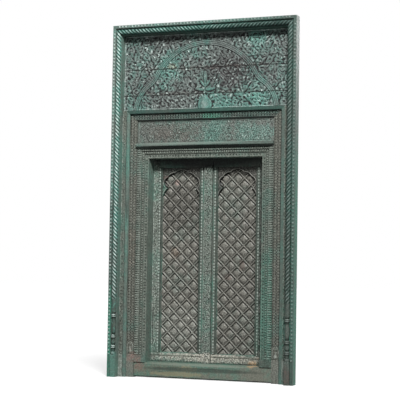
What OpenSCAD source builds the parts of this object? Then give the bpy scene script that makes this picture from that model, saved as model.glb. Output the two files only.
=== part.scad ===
// Carved double door in a stepped frame.
// The front faces -Y, +Z is up, and the origin is at the bottom centre of the whole door.
// Inside the modules, depth runs from 0 at the crown of the rope moulding to full_d at the back.

/* [Doorway] */
// Clear width between the jambs
opening_w = 1024; // [960:2:1160]
// Height of the lintel's underside above the floor
opening_top = 1860; // [1780:5:2060]
// Height of the sill's top above the floor
sill_h = 130; // [110:1:170]
// Depth from the carrying plane of the frame back to the sill's front
sill_set = 8; // [4:1:40]
// Height of the hollow worn under the sill's front edge
sill_hollow_h = 14; // [6:1:30]
// Depth of the hollow under the sill's front edge
sill_hollow_d = 60; // [20:1:90]

/* [Jambs and lintel] */
// Width of the pellet band next to the opening
pellet_w = 34; // [26:1:45]
// Width of the plain step beside the pellet band
step_w = 26; // [16:1:40]
// Width of the outer moulding of the jamb
mould_w = 44; // [30:1:60]
// Depth of the pellet band behind the carrying plane
pellet_set = 14; // [12:1:34]
// Depth of the plain step behind the carrying plane
step_set = 8; // [6:1:11]
// Depth of the outer moulding behind the carrying plane
mould_set = 3; // [2:1:5]
// Height of the plain block at the foot of each jamb
jamb_foot_h = 60; // [30:1:110]
// Height of the lintel
lintel_h = 125; // [118:1:160]
// Distance between pellets along the band
pellet_pitch = 26; // [22:1:36]
// Size of each cut pellet, measured across its corners
pellet_d = 20; // [12:1:24]
// Depth of each cut pellet
pellet_cut = 5; // [2:0.5:8]

/* [Middle frame] */
// Width of the carved band on the uprights
band_w = 68; // [45:1:80]
// Height of the carved band on the head beam
head_band_h = 60; // [45:1:80]
// Width of the plain projecting fillet
fillet_w = 28; // [20:1:44]
// Thickness of the fillet in front of the carrying plane
fillet_t = 22; // [18:1:40]
// Rounding of the fillet's front edges
fillet_edge = 6; // [2:1:9]
// Width of the outer carved band
outer_band_w = 36; // [25:1:55]
// Thickness of the outer carved band in front of the carrying plane
outer_band_t = 28; // [15:1:40]
// Depth of the uprights behind the carrying plane
upright_d = 122; // [115:1:150]
// Height of the frieze panel
frieze_h = 195; // [150:1:260]
// Depth of the frieze panel behind the carrying plane
frieze_set = 9; // [6:1:30]
// Thickness of the frieze panel
frieze_t = 35; // [20:1:60]
// Height of the lower cornice
low_cornice_h = 44; // [30:1:60]
// Projection of the lower cornice from the lintel
low_cornice_d = 30; // [18:1:45]
// Height of the lower cornice's square top member
low_cornice_top = 24; // [12:1:28]

/* [Outer rope frame] */
// Width of the posts
post_w = 77; // [74:1:100]
// Height of the top rail
rail_w = 85; // [74:1:110]
// Thickness of the post boards
post_t = 72; // [50:1:90]
// Diameter of the rope moulding
rope_d = 45; // [36:1:46]
// Distance of the rope moulding from the post's inner edge
rope_in = 2; // [1:0.5:3]
// Distance between rope strands along the moulding
rope_pitch = 32; // [24:0.5:40]
// Slope of the rope strands
rope_slope = 42; // [25:1:50]
// Depth of the grooves between strands
rope_cut = 6; // [3:0.5:9]
// Width of the beaded edge strip
bead_strip_w = 25; // [18:1:26]
// Thickness of the beaded edge strip
bead_strip_t = 13; // [8:1:18]
// Distance between beads along the strip
bead_pitch = 30; // [22:1:36]
// Diameter of each bead
bead_d = 18; // [10:1:18]
// Height of each bead above the strip
bead_t = 5; // [2:0.5:7]
// Height of the plain plinth under each rope column
plinth_h = 190; // [120:1:240]
// Depth of the plinth's face behind the crown of the rope
plinth_set = 2; // [0:0.5:6]
// Height of the turned baluster above the plinth
baluster_h = 350; // [280:1:420]
// Height of the plain neck between baluster and rope
neck_h = 120; // [60:1:160]
// Thickness of the double rings on the baluster
ring_t = 14; // [10:1:18]
// Height of the cap between plinth and baluster
cap_h = 25; // [15:1:35]
// Depth of the neck and the turned bodies behind the crown of the rope
neck_set = 2; // [1:0.5:4]
// Height of the lowest pair of rings above the plinth
low_ring_z = 67; // [60:1:80]
// Height of the middle pair of rings above the plinth
middle_ring_z = 154; // [130:1:180]
// Distance of the highest pair of rings below the neck
high_ring_drop = 22; // [18:1:30]

/* [Tympanum] */
// Height of the tympanum between cornice and top rail
tympanum_h = 647; // [630:1:760]
// Thickness of the tympanum planks
plank_t = 35; // [22:1:50]
// Part of the upper plank that runs on behind the top rail
plank_lap = 40; // [20:1:70]
// Height of the lower plank
lower_plank_h = 127; // [100:1:170]
// Height of the middle plank
middle_plank_h = 222; // [160:1:280]
// Height of the arch's crown above the cornice
arch_rise = 580; // [540:1:610]
// Radius of the arch's upper part, at its outer edge
arch_r = 525; // [500:5:540]
// Angle of the upper part on each side of the crown
arch_turn = 62; // [56:1:65]
// Radius of the arch's flaring feet, at their outer edge
arch_foot_r = 200; // [150:5:250]
// Angle of each flaring foot
arch_foot_turn = 27; // [20:1:32]
// Radius of the heels that turn down to the cornice, at their outer edge
arch_heel_r = 305; // [250:5:340]
// Angle of each heel
arch_heel_turn = 53; // [45:1:60]
// Width of the arch's band
arch_band_w = 41; // [25:1:60]
// Height of the arch's band above the planks
arch_t = 10; // [5:0.5:14]
// Width of the bud at the foot of the tympanum
bud_w = 127; // [80:1:160]
// Height of the bud's tip above the cornice
bud_h = 124; // [118:1:130]
// Angle from the bud's crown round to its foot
bud_foot_turn = 123; // [105:1:140]
// Angle from the bud's crown round to the start of its tip
bud_tip_turn = 40; // [25:1:45]
// Width of the battens on the planks' back
batten_w = 70; // [40:1:110]
// Thickness of the battens on the planks' back
batten_t = 40; // [25:1:60]
// Distance of the outer battens from the centre line
batten_x = 560; // [400:5:600]

/* [Leaves] */
// Thickness of the leaves
leaf_t = 45; // [38:1:54]
// Gap between the jambs' back and the leaves
leaf_gap = 2; // [1:0.5:4]
// Gap between the sill and the leaves
leaf_foot_gap = 3; // [2:0.5:6]
// Part of the leaves that runs up behind the lintel
leaf_head_lap = 40; // [20:1:60]
// Gap between the leaves' top and the pivot beam
leaf_head_gap = 4; // [2:0.5:8]
// Distance of the pivot axis outside the edge of the opening
pivot_out = 26; // [22:1:34]
// Diameter of the wooden pivots
pivot_d = 34; // [24:1:36]
// Length of each pivot
pivot_len = 45; // [30:1:60]
// Clearance around the pivots and under the lower one
pivot_clear = 0.3; // [0.1:0.05:0.5]
// Room over the end of the upper pivot
pivot_head_room = 1; // [0.5:0.5:4]
// Depth of the pivot beam and of the sill's rear ledge
pivot_beam_d = 85; // [80:1:100]
// Part of the pivot beam that laps onto the back of each upright
pivot_beam_lap = 88; // [40:1:110]
// Depth of the pivot beam's ends in the back of the uprights
pivot_beam_house = 15; // [8:1:30]
// Visible width of the hanging stiles
stile_w = 86; // [70:1:110]
// Distance of each lattice from the door's centre line
lattice_in = 82; // [75:1:100]
// Distance of the meeting line from the door's centre
meeting_x = 38; // [34:1:40]
// Gap between the two leaves
meeting_gap = 3.5; // [3:0.5:6]
// Height of the leaves' bottom rails
bottom_rail_h = 81; // [60:1:120]
// Height of the leaves' top rails
top_rail_h = 115; // [80:1:140]

/* [Lattice panels] */
// Diamonds across each panel
lattice_columns = 3; // [2:1:5]
// Distance between diamonds up each panel
lattice_rise = 113.5; // [95:0.5:130]
// Width of the lattice ribs
rib_w = 11; // [7:1:16]
// Depth of the panel board behind the leaf's face
panel_set = 25; // [14:1:26]
// Thickness of the panel board
panel_t = 18; // [12:1:19]
// Height of the lattice above the panel board
lattice_t = 12; // [6:0.5:13]
// Height of the pillow in each diamond
pillow_t = 9; // [4:0.5:11]
// Width of the channel round each pillow
pillow_gap = 7; // [4:1:12]
// Width of each pillow's sloping sides
pillow_side_w = 17; // [8:1:20]
// Clearance between the lattice and the arch board
arch_board_clear = 1.5; // [0.5:0.5:3]
// Height of the arch board
arch_board_h = 240; // [225:1:280]
// Width of the arch board at its feet
arch_side = 4; // [2:1:10]
// Width of the arch board at its lowest cusps
arch_low_w = 43; // [30:1:55]
// Width of the arch board at its middle cusps
arch_mid_w = 46; // [30:1:60]
// Width of the arch board at its highest cusps
arch_high_w = 112; // [95:1:118]
// Height of the lowest cusps above the arch board's foot
cusp_low_h = 63; // [50:1:80]
// Height of the middle cusps above the arch board's foot
cusp_mid_h = 159; // [148:1:168]
// Height of the highest cusps above the arch board's foot
cusp_high_h = 194; // [184:1:204]
// Height of the arch's point above the arch board's foot
arch_point_h = 221; // [205:1:224]
// Bulge of the foil at each foot
foot_bulge = 8; // [4:1:12]
// Bulge of the foil at each side
side_bulge = 34; // [24:1:36]
// Bulge of the foil at each shoulder
shoulder_bulge = 11; // [6:1:14]
// Bulge of the foil at each side of the point
crown_bulge = 6; // [3:1:8]

/* [Leaf trim] */
// Width of the astragal over the meeting line
astragal_w = 76; // [50:1:80]
// Thickness of the astragal
astragal_t = 25; // [14:1:30]
// Length of the astragal below the lintel's underside that stays bare
astragal_drop = 64; // [30:1:110]
// Width of the pearl strips beside the lattice
pearl_strip_w = 30; // [26:1:36]
// Thickness of the pearl strips' flat part
pearl_strip_t = 6; // [3:0.5:9]
// Diameter of the pearls' rod
pearl_d = 15; // [10:1:17]
// Distance between pearls along the rod
pearl_pitch = 26; // [20:1:34]
// Depth of the cuts between pearls
pearl_cut = 4; // [2:0.5:5]
// Height of each ledge on the leaves' back
ledge_h = 90; // [60:1:130]
// Thickness of each ledge
ledge_t = 30; // [20:1:34]
// Distance of the ledges from the leaf's edges
ledge_in = 10; // [6:1:30]
// Diameter of the iron nail heads on the ledges
nail_d = 22; // [12:1:30]
// Height of the nail heads
nail_t = 5; // [3:0.5:7]
// Distance of each nail above or below the middle of its ledge
nail_rise = 22; // [15:1:30]

/* [Hidden] */
$fn = 64;

// Half widths from the centre line outwards
opening_x = opening_w / 2;
jamb_w = pellet_w + step_w + mould_w;
jamb_x = opening_x + jamb_w;
band_x = jamb_x + band_w;
fillet_x = band_x + fillet_w;
post_x = fillet_x + outer_band_w;
edge_x = post_x + post_w;

// Heights from the floor upwards
lintel_top = opening_top + lintel_h;
frieze_top = lintel_top + frieze_h;
cornice_z = frieze_top + head_band_h;
cornice_top = cornice_z + fillet_w;
rail_z = cornice_top + tympanum_h;
frame_h = rail_z + rail_w;

// Depths from the crown of the rope moulding
post_face = rope_d / 2;
carry = post_face + post_t;
jamb_back = carry + upright_d;
full_d = jamb_back + pivot_beam_d;

// Rope moulding's centre line
rope_x = post_x + rope_in + rope_d / 2;
rope_z = frame_h - (edge_x - rope_x) * rail_w / post_w;
rope_foot = plinth_h + baluster_h + neck_h;

// Leaves
leaf_face = jamb_back + leaf_gap;
leaf_back = leaf_face + leaf_t;
leaf_foot = sill_h + leaf_foot_gap;
leaf_top = opening_top + leaf_head_lap;
pivot_x = opening_x + pivot_out;
pivot_depth = leaf_face + leaf_t / 2;
lattice_out = opening_x - stile_w;
lattice_w = lattice_out - lattice_in;
panel_foot = leaf_foot + bottom_rail_h;
panel_top = leaf_top - top_rail_h;
panel_mid = (lattice_in + lattice_out) / 2;
panel_face = leaf_face + panel_set;
arch_board_foot = panel_top - arch_board_h;
arch_points = [
    [lattice_w / 2 - arch_side, 0],
    [lattice_w / 2 - arch_low_w, cusp_low_h],
    [lattice_w / 2 - arch_mid_w, cusp_mid_h],
    [lattice_w / 2 - arch_high_w, cusp_high_h],
    [0, arch_point_h]
];
foil_bulges = [foot_bulge, side_bulge, shoulder_bulge, crown_bulge];
pivot_beam_z = leaf_top + leaf_head_gap;
past = 1;

teal = [0.36, 0.55, 0.50];
teal_pale = [0.50, 0.66, 0.60];
wood_grey = [0.42, 0.42, 0.39];
wood_dark = [0.30, 0.32, 0.29];
wood_brown = [0.40, 0.34, 0.28];
iron = [0.18, 0.17, 0.16];

// Moves a module's own depths to the shared frame
module in_frame() {
    translate([0, -full_d / 2, 0]) children();
}

// Draws the right-hand piece, or its mirror image for the left-hand side
module sided(side) {
    mirror([side < 0 ? 1 : 0, 0, 0]) children();
}

// Front outline given as x and z, carried between two depths
module slab(outline, near, far) {
    translate([0, far, 0]) rotate([90, 0, 0]) linear_extrude(far - near) polygon(outline);
}

// Box given by its ranges of x, depth and z
module block(x, depth, z) {
    translate([x[0], depth[0], z[0]]) cube([x[1] - x[0], depth[1] - depth[0], z[1] - z[0]]);
}

// Upright moulding with the profile [outwards, depth], mitred at its head
module upright_run(profile, x_in, z_in, w, foot) {
    difference() {
        translate([x_in, 0, foot]) linear_extrude(z_in + w - foot) polygon(profile);
        slab([[x_in - past, z_in - past], [x_in + w + past, z_in + w + past],
            [x_in - past, z_in + w + past]], -past, full_d);
    }
}

// Head moulding with the profile [upwards, depth], mitred at both ends
module head_run(profile, x_in, z_in, w) {
    difference() {
        translate([-x_in - w, 0, z_in]) rotate([90, 0, 90]) linear_extrude(2 * (x_in + w))
            polygon([for (p = profile) [p[1], p[0]]]);
        for (side = [-1, 1])
            sided(side) slab([[x_in - past, z_in - past], [x_in + w + past, z_in - past],
                [x_in + w + past, z_in + w + past]], -past, full_d);
    }
}

// Points on an arc about a centre, with the angle measured from straight up towards +X
function arc(centre, r, from, to, steps) =
    [for (i = [0:steps]) let (a = from + (to - from) * i / steps) centre + r * [sin(a), cos(a)]];

// Profiles
jamb_profile = [[0, jamb_back], [0, carry + pellet_set], [pellet_w, carry + pellet_set],
    [pellet_w, carry + step_set], [pellet_w + step_w, carry + step_set],
    [pellet_w + step_w, carry + mould_set], [jamb_w, carry + mould_set], [jamb_w, jamb_back]];
edge_steps = 6;
fillet_face = carry - fillet_t;
fillet_profile = concat([[0, carry]],
    arc([fillet_edge, fillet_face + fillet_edge], fillet_edge, 270, 180, edge_steps),
    arc([fillet_w - fillet_edge, fillet_face + fillet_edge], fillet_edge, 180, 90, edge_steps),
    [[fillet_w, carry]]);

// Outer rope frame

module post_board(side) {
    color(teal) in_frame() sided(side)
        slab([[post_x, 0], [edge_x, 0], [edge_x, frame_h], [post_x, rail_z]], post_face, carry);
}

module top_rail_board() {
    color(teal) in_frame()
        slab([[-post_x, rail_z], [post_x, rail_z], [edge_x, frame_h], [-edge_x, frame_h]],
            post_face, carry);
}

// Half-round rope along Z from one height to another, with slanting V grooves across its crown
module rope_length(from, to) {
    count = floor((to - from) / rope_pitch);
    bar = rope_cut * sqrt(2);
    difference() {
        translate([0, post_face, from]) intersection() {
            cylinder(d = rope_d, h = to - from);
            translate([-rope_d, -rope_d, 0]) cube([2 * rope_d, rope_d, to - from]);
        }
        for (i = [0:count])
            translate([0, 0, from + (i + 0.5) * rope_pitch]) rotate([0, -rope_slope, 0])
                rotate([45, 0, 0]) cube([2 * rope_d, bar, bar], center = true);
    }
}

// Swelling turned body between two heights
module turned_body(from, to, waist, belly) {
    steps = 10;
    translate([0, 0, from]) rotate_extrude()
        polygon(concat([[0, 0]],
            [for (i = [0:steps]) [waist + (belly - waist) * sin(180 * i / steps), (to - from) * i / steps]],
            [[0, to - from]]));
}

// Pair of rings round the baluster
module double_ring(z) {
    for (dz = [-ring_t / 2, ring_t / 2])
        translate([0, 0, z + dz]) rotate_extrude()
            translate([(rope_d - ring_t) / 2, 0]) circle(d = ring_t);
}

// Turned foot of the rope column: cap, two short bodies, a vase and three double rings
module baluster() {
    r = rope_d / 2;
    waist = r - ring_t / 2;
    belly = r - neck_set;
    top = plinth_h + baluster_h;
    ring_z = [plinth_h + low_ring_z, plinth_h + middle_ring_z, top - high_ring_drop];
    translate([0, post_face, 0]) intersection() {
        union() {
            translate([0, 0, plinth_h]) cylinder(r = r, h = cap_h);
            turned_body(plinth_h + cap_h, ring_z[0], waist, belly);
            turned_body(ring_z[0], ring_z[1], waist, belly);
            turned_body(ring_z[1], ring_z[2], waist, belly);
            turned_body(ring_z[2], top, waist, waist);
            for (z = ring_z)
                double_ring(z);
            translate([0, 0, top]) cylinder(r = belly, h = neck_h);
        }
        translate([-r, -r, plinth_h]) cube([2 * r, r, baluster_h + neck_h]);
    }
}

module rope_column(side) {
    color(teal_pale) in_frame() sided(side) intersection() {
        translate([rope_x, 0, 0]) union() {
            block([-rope_d / 2, rope_d / 2], [plinth_set, post_face], [0, plinth_h]);
            baluster();
            rope_length(rope_foot, rope_z + rope_d);
        }
        slab([[post_x, 0], [edge_x, 0], [edge_x, frame_h], [post_x, rail_z]], 0, post_face);
    }
}

module top_rope_moulding() {
    color(teal_pale) in_frame() for (side = [-1, 1]) sided(side) intersection() {
        translate([0, 0, rope_z]) rotate([0, 90, 0]) mirror([1, 0, 0])
            rope_length(0, rope_x + rope_d);
        slab([[0, rail_z], [post_x, rail_z], [edge_x, frame_h], [0, frame_h]], 0, post_face);
    }
}

// Flat-topped beads in a row along Z
module bead_row(from, to) {
    count = floor((to - from) / bead_pitch);
    for (i = [0:count - 1])
        translate([0, post_face - bead_strip_t, from + (i + 0.5) * bead_pitch]) rotate([90, 0, 0])
            cylinder(d = bead_d, h = bead_t);
}

module bead_strip(side) {
    inner = edge_x - bead_strip_w;
    color(teal) in_frame() sided(side) {
        slab([[inner, 0], [edge_x, 0], [edge_x, frame_h], [inner, frame_h - bead_strip_w]],
            post_face - bead_strip_t, post_face);
        translate([edge_x - bead_strip_w / 2, 0, 0]) bead_row(plinth_h, frame_h - 2 * bead_strip_w);
    }
}

module top_bead_strip() {
    inner = edge_x - bead_strip_w;
    run = inner - bead_strip_w;
    color(teal) in_frame() {
        slab([[-inner, frame_h - bead_strip_w], [inner, frame_h - bead_strip_w],
            [edge_x, frame_h], [-edge_x, frame_h]], post_face - bead_strip_t, post_face);
        translate([0, 0, frame_h - bead_strip_w / 2]) rotate([0, 90, 0]) bead_row(-run, run);
    }
}

// Middle frame

module outer_band(side) {
    color(wood_grey) in_frame() sided(side)
        block([fillet_x, post_x], [carry - outer_band_t, carry], [0, cornice_top]);
}

module fillet(side) {
    color(teal) in_frame() sided(side)
        upright_run(fillet_profile, band_x, cornice_z, fillet_w, 0);
}

module cornice() {
    color(teal) in_frame()
        head_run(fillet_profile, band_x, cornice_z, fillet_w);
}

// Housed end of the pivot beam in the back of an upright, lengthened past its open faces for a cut
module beam_end(over) {
    block([jamb_x - over, jamb_x + pivot_beam_lap], [jamb_back - pivot_beam_house, jamb_back + over],
        [pivot_beam_z, lintel_top]);
}

module upright(side) {
    color(wood_grey) in_frame() sided(side)
        difference() {
            slab([[jamb_x, 0], [post_x, 0], [post_x, cornice_top], [fillet_x, cornice_top],
                [jamb_x, frieze_top]], carry, jamb_back);
            beam_end(past);
        }
}

module head_beam() {
    color(wood_grey) in_frame()
        slab([[-fillet_x, cornice_top], [fillet_x, cornice_top], [jamb_x, frieze_top],
            [-jamb_x, frieze_top]], carry, jamb_back);
}

module frieze_panel() {
    color(wood_grey) in_frame()
        block([-jamb_x, jamb_x], [carry + frieze_set, carry + frieze_set + frieze_t],
            [lintel_top, frieze_top]);
}

// Square top member over a hollow curve that runs back to the lintel
module lower_cornice() {
    curve = low_cornice_h - low_cornice_top;
    back = carry + mould_set;
    hollow = [for (i = [0:edge_steps]) let (a = 90 * i / edge_steps)
        [back - low_cornice_d * (1 - cos(a)), curve * sin(a)]];
    profile = concat(hollow, [[back - low_cornice_d, low_cornice_h], [back, low_cornice_h]]);
    color(teal_pale) in_frame()
        translate([-jamb_x, 0, lintel_top - low_cornice_h]) rotate([90, 0, 90])
            linear_extrude(2 * jamb_x) polygon(profile);
}

// Tympanum

// Ogee arch: a round crown, flaring feet and heels that turn down to the cornice
module arch_band() {
    crown = [0, cornice_top + arch_rise - arch_r];
    foot = crown + (arch_r + arch_foot_r) * [sin(arch_turn), cos(arch_turn)];
    half_turn = 180;
    back = arch_turn + half_turn;
    rest = arch_turn - arch_foot_turn;
    heel = foot - (arch_foot_r + arch_heel_r) * [sin(rest), cos(rest)];
    steps = 18;
    outer = concat(arc(crown, arch_r, 0, arch_turn, steps),
        arc(foot, arch_foot_r, back, back - arch_foot_turn, steps),
        arc(heel, arch_heel_r, rest, rest + arch_heel_turn, steps));
    inner = concat(arc(crown, arch_r - arch_band_w, 0, arch_turn, steps),
        arc(foot, arch_foot_r + arch_band_w, back, back - arch_foot_turn, steps),
        arc(heel, arch_heel_r - arch_band_w, rest, rest + arch_heel_turn, steps));
    outline = concat(outer, [for (i = [len(inner) - 1:-1:0]) inner[i]]);
    for (side = [-1, 1])
        sided(side) slab(outline, carry - arch_t, carry);
}

// Pointed bud that stands on the cornice
module bud() {
    r = bud_w / 2;
    steps = 8;
    centre = [0, cornice_top - r * cos(bud_foot_turn)];
    outline = concat(arc(centre, r, bud_foot_turn, bud_tip_turn, steps), [[0, cornice_top + bud_h]],
        arc(centre, r, -bud_tip_turn, -bud_foot_turn, steps));
    slab(outline, carry - arch_t, carry);
}

module plank(from, to) {
    color(wood_grey) in_frame() {
        block([-post_x, post_x], [carry, carry + plank_t], [from, to]);
        intersection() {
            union() {
                arch_band();
                bud();
            }
            block([-post_x, post_x], [carry - arch_t, carry], [from, to]);
        }
    }
}

lower_seam = cornice_top + lower_plank_h;
upper_seam = lower_seam + middle_plank_h;

module tympanum_battens() {
    color(wood_brown) in_frame() for (x = [-batten_x, 0, batten_x])
        block([x - batten_w / 2, x + batten_w / 2], [carry + plank_t, carry + plank_t + batten_t],
            [cornice_top, rail_z + plank_lap]);
}

// Inner door frame

// Row of cut triangles along Z
module pellet_cuts(from, to) {
    count = floor((to - from) / pellet_pitch);
    for (i = [0:count - 1])
        translate([0, carry + pellet_set + pellet_cut, from + (i + 0.5) * pellet_pitch])
            rotate([90, 0, 0]) cylinder(d = pellet_d, h = pellet_cut + past, $fn = 3);
}

module jamb(side) {
    color(wood_grey) in_frame() sided(side) {
        difference() {
            upright_run(jamb_profile, opening_x, opening_top, jamb_w, sill_h);
            translate([opening_x + pellet_w / 2, 0, 0])
                pellet_cuts(sill_h + jamb_foot_h + pellet_pitch, opening_top);
        }
        block([opening_x, jamb_x], [carry, carry + pellet_set + past], [sill_h, sill_h + jamb_foot_h]);
    }
}

module lintel() {
    color(wood_grey) in_frame() {
        difference() {
            head_run(jamb_profile, opening_x, opening_top, jamb_w);
            translate([0, 0, opening_top + pellet_w / 2]) rotate([0, 90, 0])
                pellet_cuts(-opening_x, opening_x);
        }
        block([-jamb_x, jamb_x], [carry + mould_set, jamb_back], [opening_top + jamb_w, lintel_top]);
    }
}

module sill() {
    front = carry + sill_set;
    floor_z = leaf_foot - pivot_len - pivot_clear;
    color(teal) in_frame() difference() {
        block([-jamb_x, jamb_x], [front, full_d], [0, sill_h]);
        block([-jamb_x - past, jamb_x + past], [front - past, front + sill_hollow_d],
            [-past, sill_hollow_h]);
        for (side = [-1, 1])
            translate([side * pivot_x, pivot_depth, floor_z])
                cylinder(d = pivot_d + 2 * pivot_clear, h = sill_h - floor_z + past);
    }
}

module pivot_beam() {
    reach = jamb_x + pivot_beam_lap;
    socket = pivot_len - leaf_head_gap + pivot_head_room;
    color(wood_brown) in_frame() difference() {
        union() {
            block([-reach, reach], [jamb_back, full_d], [pivot_beam_z, lintel_top]);
            for (side = [-1, 1])
                sided(side) beam_end(0);
        }
        for (side = [-1, 1])
            translate([side * pivot_x, pivot_depth, pivot_beam_z - past])
                cylinder(d = pivot_d + 2 * pivot_clear, h = socket + past);
    }
}

// Leaves

// Inner edge of a leaf, measured from the centre line towards its own hinge side
function leaf_edge(side) = side > 0 ? meeting_x + meeting_gap / 2 : -meeting_x + meeting_gap / 2;

module hanging_stile(side) {
    color(wood_dark) in_frame() sided(side) {
        block([lattice_out, pivot_x], [leaf_face, leaf_back], [leaf_foot, leaf_top]);
        translate([pivot_x, pivot_depth, leaf_foot]) cylinder(d = leaf_t, h = leaf_top - leaf_foot);
        translate([pivot_x, pivot_depth, leaf_foot - pivot_len])
            cylinder(d = pivot_d, h = leaf_top - leaf_foot + 2 * pivot_len);
    }
}

module meeting_stile(side) {
    color(wood_dark) in_frame() sided(side)
        block([leaf_edge(side), lattice_in], [leaf_face, leaf_back], [leaf_foot, leaf_top]);
}

module top_rail(side) {
    color(wood_dark) in_frame() sided(side)
        block([lattice_in, lattice_out], [leaf_face, leaf_back], [panel_top, leaf_top]);
}

module bottom_rail(side) {
    color(wood_dark) in_frame() sided(side)
        block([lattice_in, lattice_out], [leaf_face, leaf_back], [leaf_foot, panel_foot]);
}

// Round foil of the arch between two cusps, given by its bulge outside their chord
module foil(from, to, bulge, inset, depth) {
    chord = norm(to - from);
    r = chord * chord / (8 * bulge) + bulge / 2;
    out = [to.y - from.y, from.x - to.x] / chord;
    centre = (from + to) / 2 + (bulge - r) * out;
    translate([centre.x, centre.y, 0]) cylinder(r = r - inset, h = depth);
}

// Space under the pointed arch: on each side four foils over the field between the cusps
module arch_space(near, far, inset) {
    shrink = 1 - 4 * inset / lattice_w;
    top = arch_point_h * shrink;
    feet = [[-past, -past], [arch_points[0].x * shrink, -past]];
    translate([panel_mid, far, arch_board_foot]) rotate([90, 0, 0])
        for (half = [0, 1])
            mirror([half, 0, 0]) intersection() {
                union() {
                    for (i = [0:len(foil_bulges) - 1])
                        foil(arch_points[i], arch_points[i + 1], foil_bulges[i], inset, far - near);
                    linear_extrude(far - near)
                        polygon(concat(feet, arch_points * shrink, [[-past, top]]));
                }
                translate([-past, -arch_board_h, 0])
                    cube([lattice_w, 2 * arch_board_h, far - near]);
            }
}

// Corners of a diamond on the panel, drawn in from the ribs' middle lines on all four sides
function diamond(x, z, inset) =
    let (a = lattice_w / lattice_columns / 2)
    let (b = lattice_rise / 2)
    let (k = 1 - inset * norm([a, b]) / (a * b))
    [[x - a * k, z], [x, z - b * k], [x + a * k, z], [x, z + b * k]];

// Low pyramid with a flat top in a diamond
module pillow(x, z) {
    foot = diamond(x, z, rib_w / 2 + pillow_gap);
    top = diamond(x, z, rib_w / 2 + pillow_gap + pillow_side_w);
    polyhedron(
        points = concat([for (p = foot) [p.x, panel_face + past, p.y]],
            [for (p = top) [p.x, panel_face - pillow_t, p.y]]),
        faces = [[4, 7, 6, 5], [0, 1, 2, 3], [0, 3, 7, 4], [3, 2, 6, 7], [2, 1, 5, 6], [1, 0, 4, 5]]);
}

// Panel board with the raised lattice: every diamond is a sunk channel round a pillow
module lattice_panel(side) {
    pitch = lattice_w / lattice_columns;
    rows = ceil((panel_top - panel_foot) / lattice_rise);
    front = panel_face - lattice_t;
    color(wood_grey) in_frame() sided(side) {
        block([lattice_in, lattice_out], [panel_face, panel_face + panel_t], [panel_foot, panel_top]);
        difference() {
            union() {
                block([lattice_in, lattice_out], [front, panel_face], [panel_foot, arch_board_foot]);
                arch_space(front, panel_face, arch_board_clear);
            }
            for (row = [0:2 * rows], column = [0:lattice_columns])
                let (x = lattice_in + (column + (row % 2 == 0 ? 0.5 : 0)) * pitch)
                    let (z = panel_foot + row * lattice_rise / 2)
                        difference() {
                            slab(diamond(x, z, rib_w / 2), front - past, panel_face);
                            pillow(x, z);
                        }
        }
    }
}

module cusped_arch(side) {
    color(wood_dark) in_frame() sided(side) difference() {
        block([lattice_in, lattice_out], [leaf_face, panel_face], [arch_board_foot, panel_top]);
        arch_space(leaf_face - past, panel_face + past, 0);
    }
}

// Flat strip with a rod of pearls along the side away from the lattice
module pearl_strip() {
    count = floor((panel_top - panel_foot) / pearl_pitch);
    bar = pearl_cut * sqrt(2);
    rod_x = pearl_strip_w - pearl_d / 2;
    block([0, pearl_strip_w], [leaf_face - pearl_strip_t, leaf_face], [panel_foot, panel_top]);
    translate([rod_x, leaf_face - pearl_strip_t, 0]) difference() {
        translate([0, 0, panel_foot]) intersection() {
            cylinder(d = pearl_d, h = panel_top - panel_foot);
            translate([-pearl_d, -pearl_d, 0]) cube([2 * pearl_d, pearl_d, panel_top - panel_foot]);
        }
        for (i = [1:count])
            translate([0, -pearl_d / 2, panel_foot + i * pearl_pitch]) rotate([45, 0, 0])
                cube([2 * pearl_d, bar, bar], center = true);
    }
}

module pearl_strips(side) {
    color(teal) in_frame() sided(side) {
        translate([lattice_out, 0, 0]) pearl_strip();
        translate([lattice_in, 0, 0]) mirror([1, 0, 0]) pearl_strip();
    }
}

// Heights of the middles of the three ledges
ledge_z = [panel_foot + ledge_h, (panel_foot + panel_top) / 2, panel_top - ledge_h];

module back_ledges(side) {
    color(wood_brown) in_frame() sided(side) for (z = ledge_z)
        block([leaf_edge(side) + ledge_in, opening_x - ledge_in], [leaf_back, leaf_back + ledge_t],
            [z - ledge_h / 2, z + ledge_h / 2]);
}

// Low domed heads, two over each stile
module ledge_nails(side) {
    dome_r = (nail_d * nail_d / 4 + nail_t * nail_t) / (2 * nail_t);
    stiles = [(leaf_edge(side) + ledge_in + lattice_in) / 2, (lattice_out + opening_x - ledge_in) / 2];
    color(iron) in_frame() sided(side)
        for (z = ledge_z, x = stiles, dz = [-nail_rise, nail_rise])
            translate([x, leaf_back + ledge_t, z + dz]) rotate([-90, 0, 0]) intersection() {
                translate([0, 0, nail_t - dome_r]) sphere(r = dome_r);
                cylinder(d = nail_d, h = nail_t);
            }
}

module astragal() {
    color(wood_dark) in_frame()
        block([-astragal_w / 2, meeting_x - meeting_gap / 2], [leaf_face - astragal_t, leaf_face],
            [leaf_foot, opening_top - astragal_drop]);
}

post_board(-1);  // left_post_board
post_board(1);  // right_post_board
top_rail_board();
rope_column(-1);  // left_rope_column
rope_column(1);  // right_rope_column
top_rope_moulding();
bead_strip(-1);  // left_bead_strip
bead_strip(1);  // right_bead_strip
top_bead_strip();
outer_band(-1);  // left_outer_band
outer_band(1);  // right_outer_band
fillet(-1);  // left_fillet
fillet(1);  // right_fillet
cornice();
upright(-1);  // left_upright
upright(1);  // right_upright
head_beam();
frieze_panel();
lower_cornice();
plank(cornice_top, lower_seam);  // tympanum_lower_plank
plank(lower_seam, upper_seam);  // tympanum_middle_plank
plank(upper_seam, rail_z + plank_lap);  // tympanum_upper_plank
tympanum_battens();
jamb(-1);  // left_jamb
jamb(1);  // right_jamb
lintel();
sill();
pivot_beam();
hanging_stile(-1);  // left_hanging_stile
meeting_stile(-1);  // left_meeting_stile
top_rail(-1);  // left_top_rail
bottom_rail(-1);  // left_bottom_rail
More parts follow.
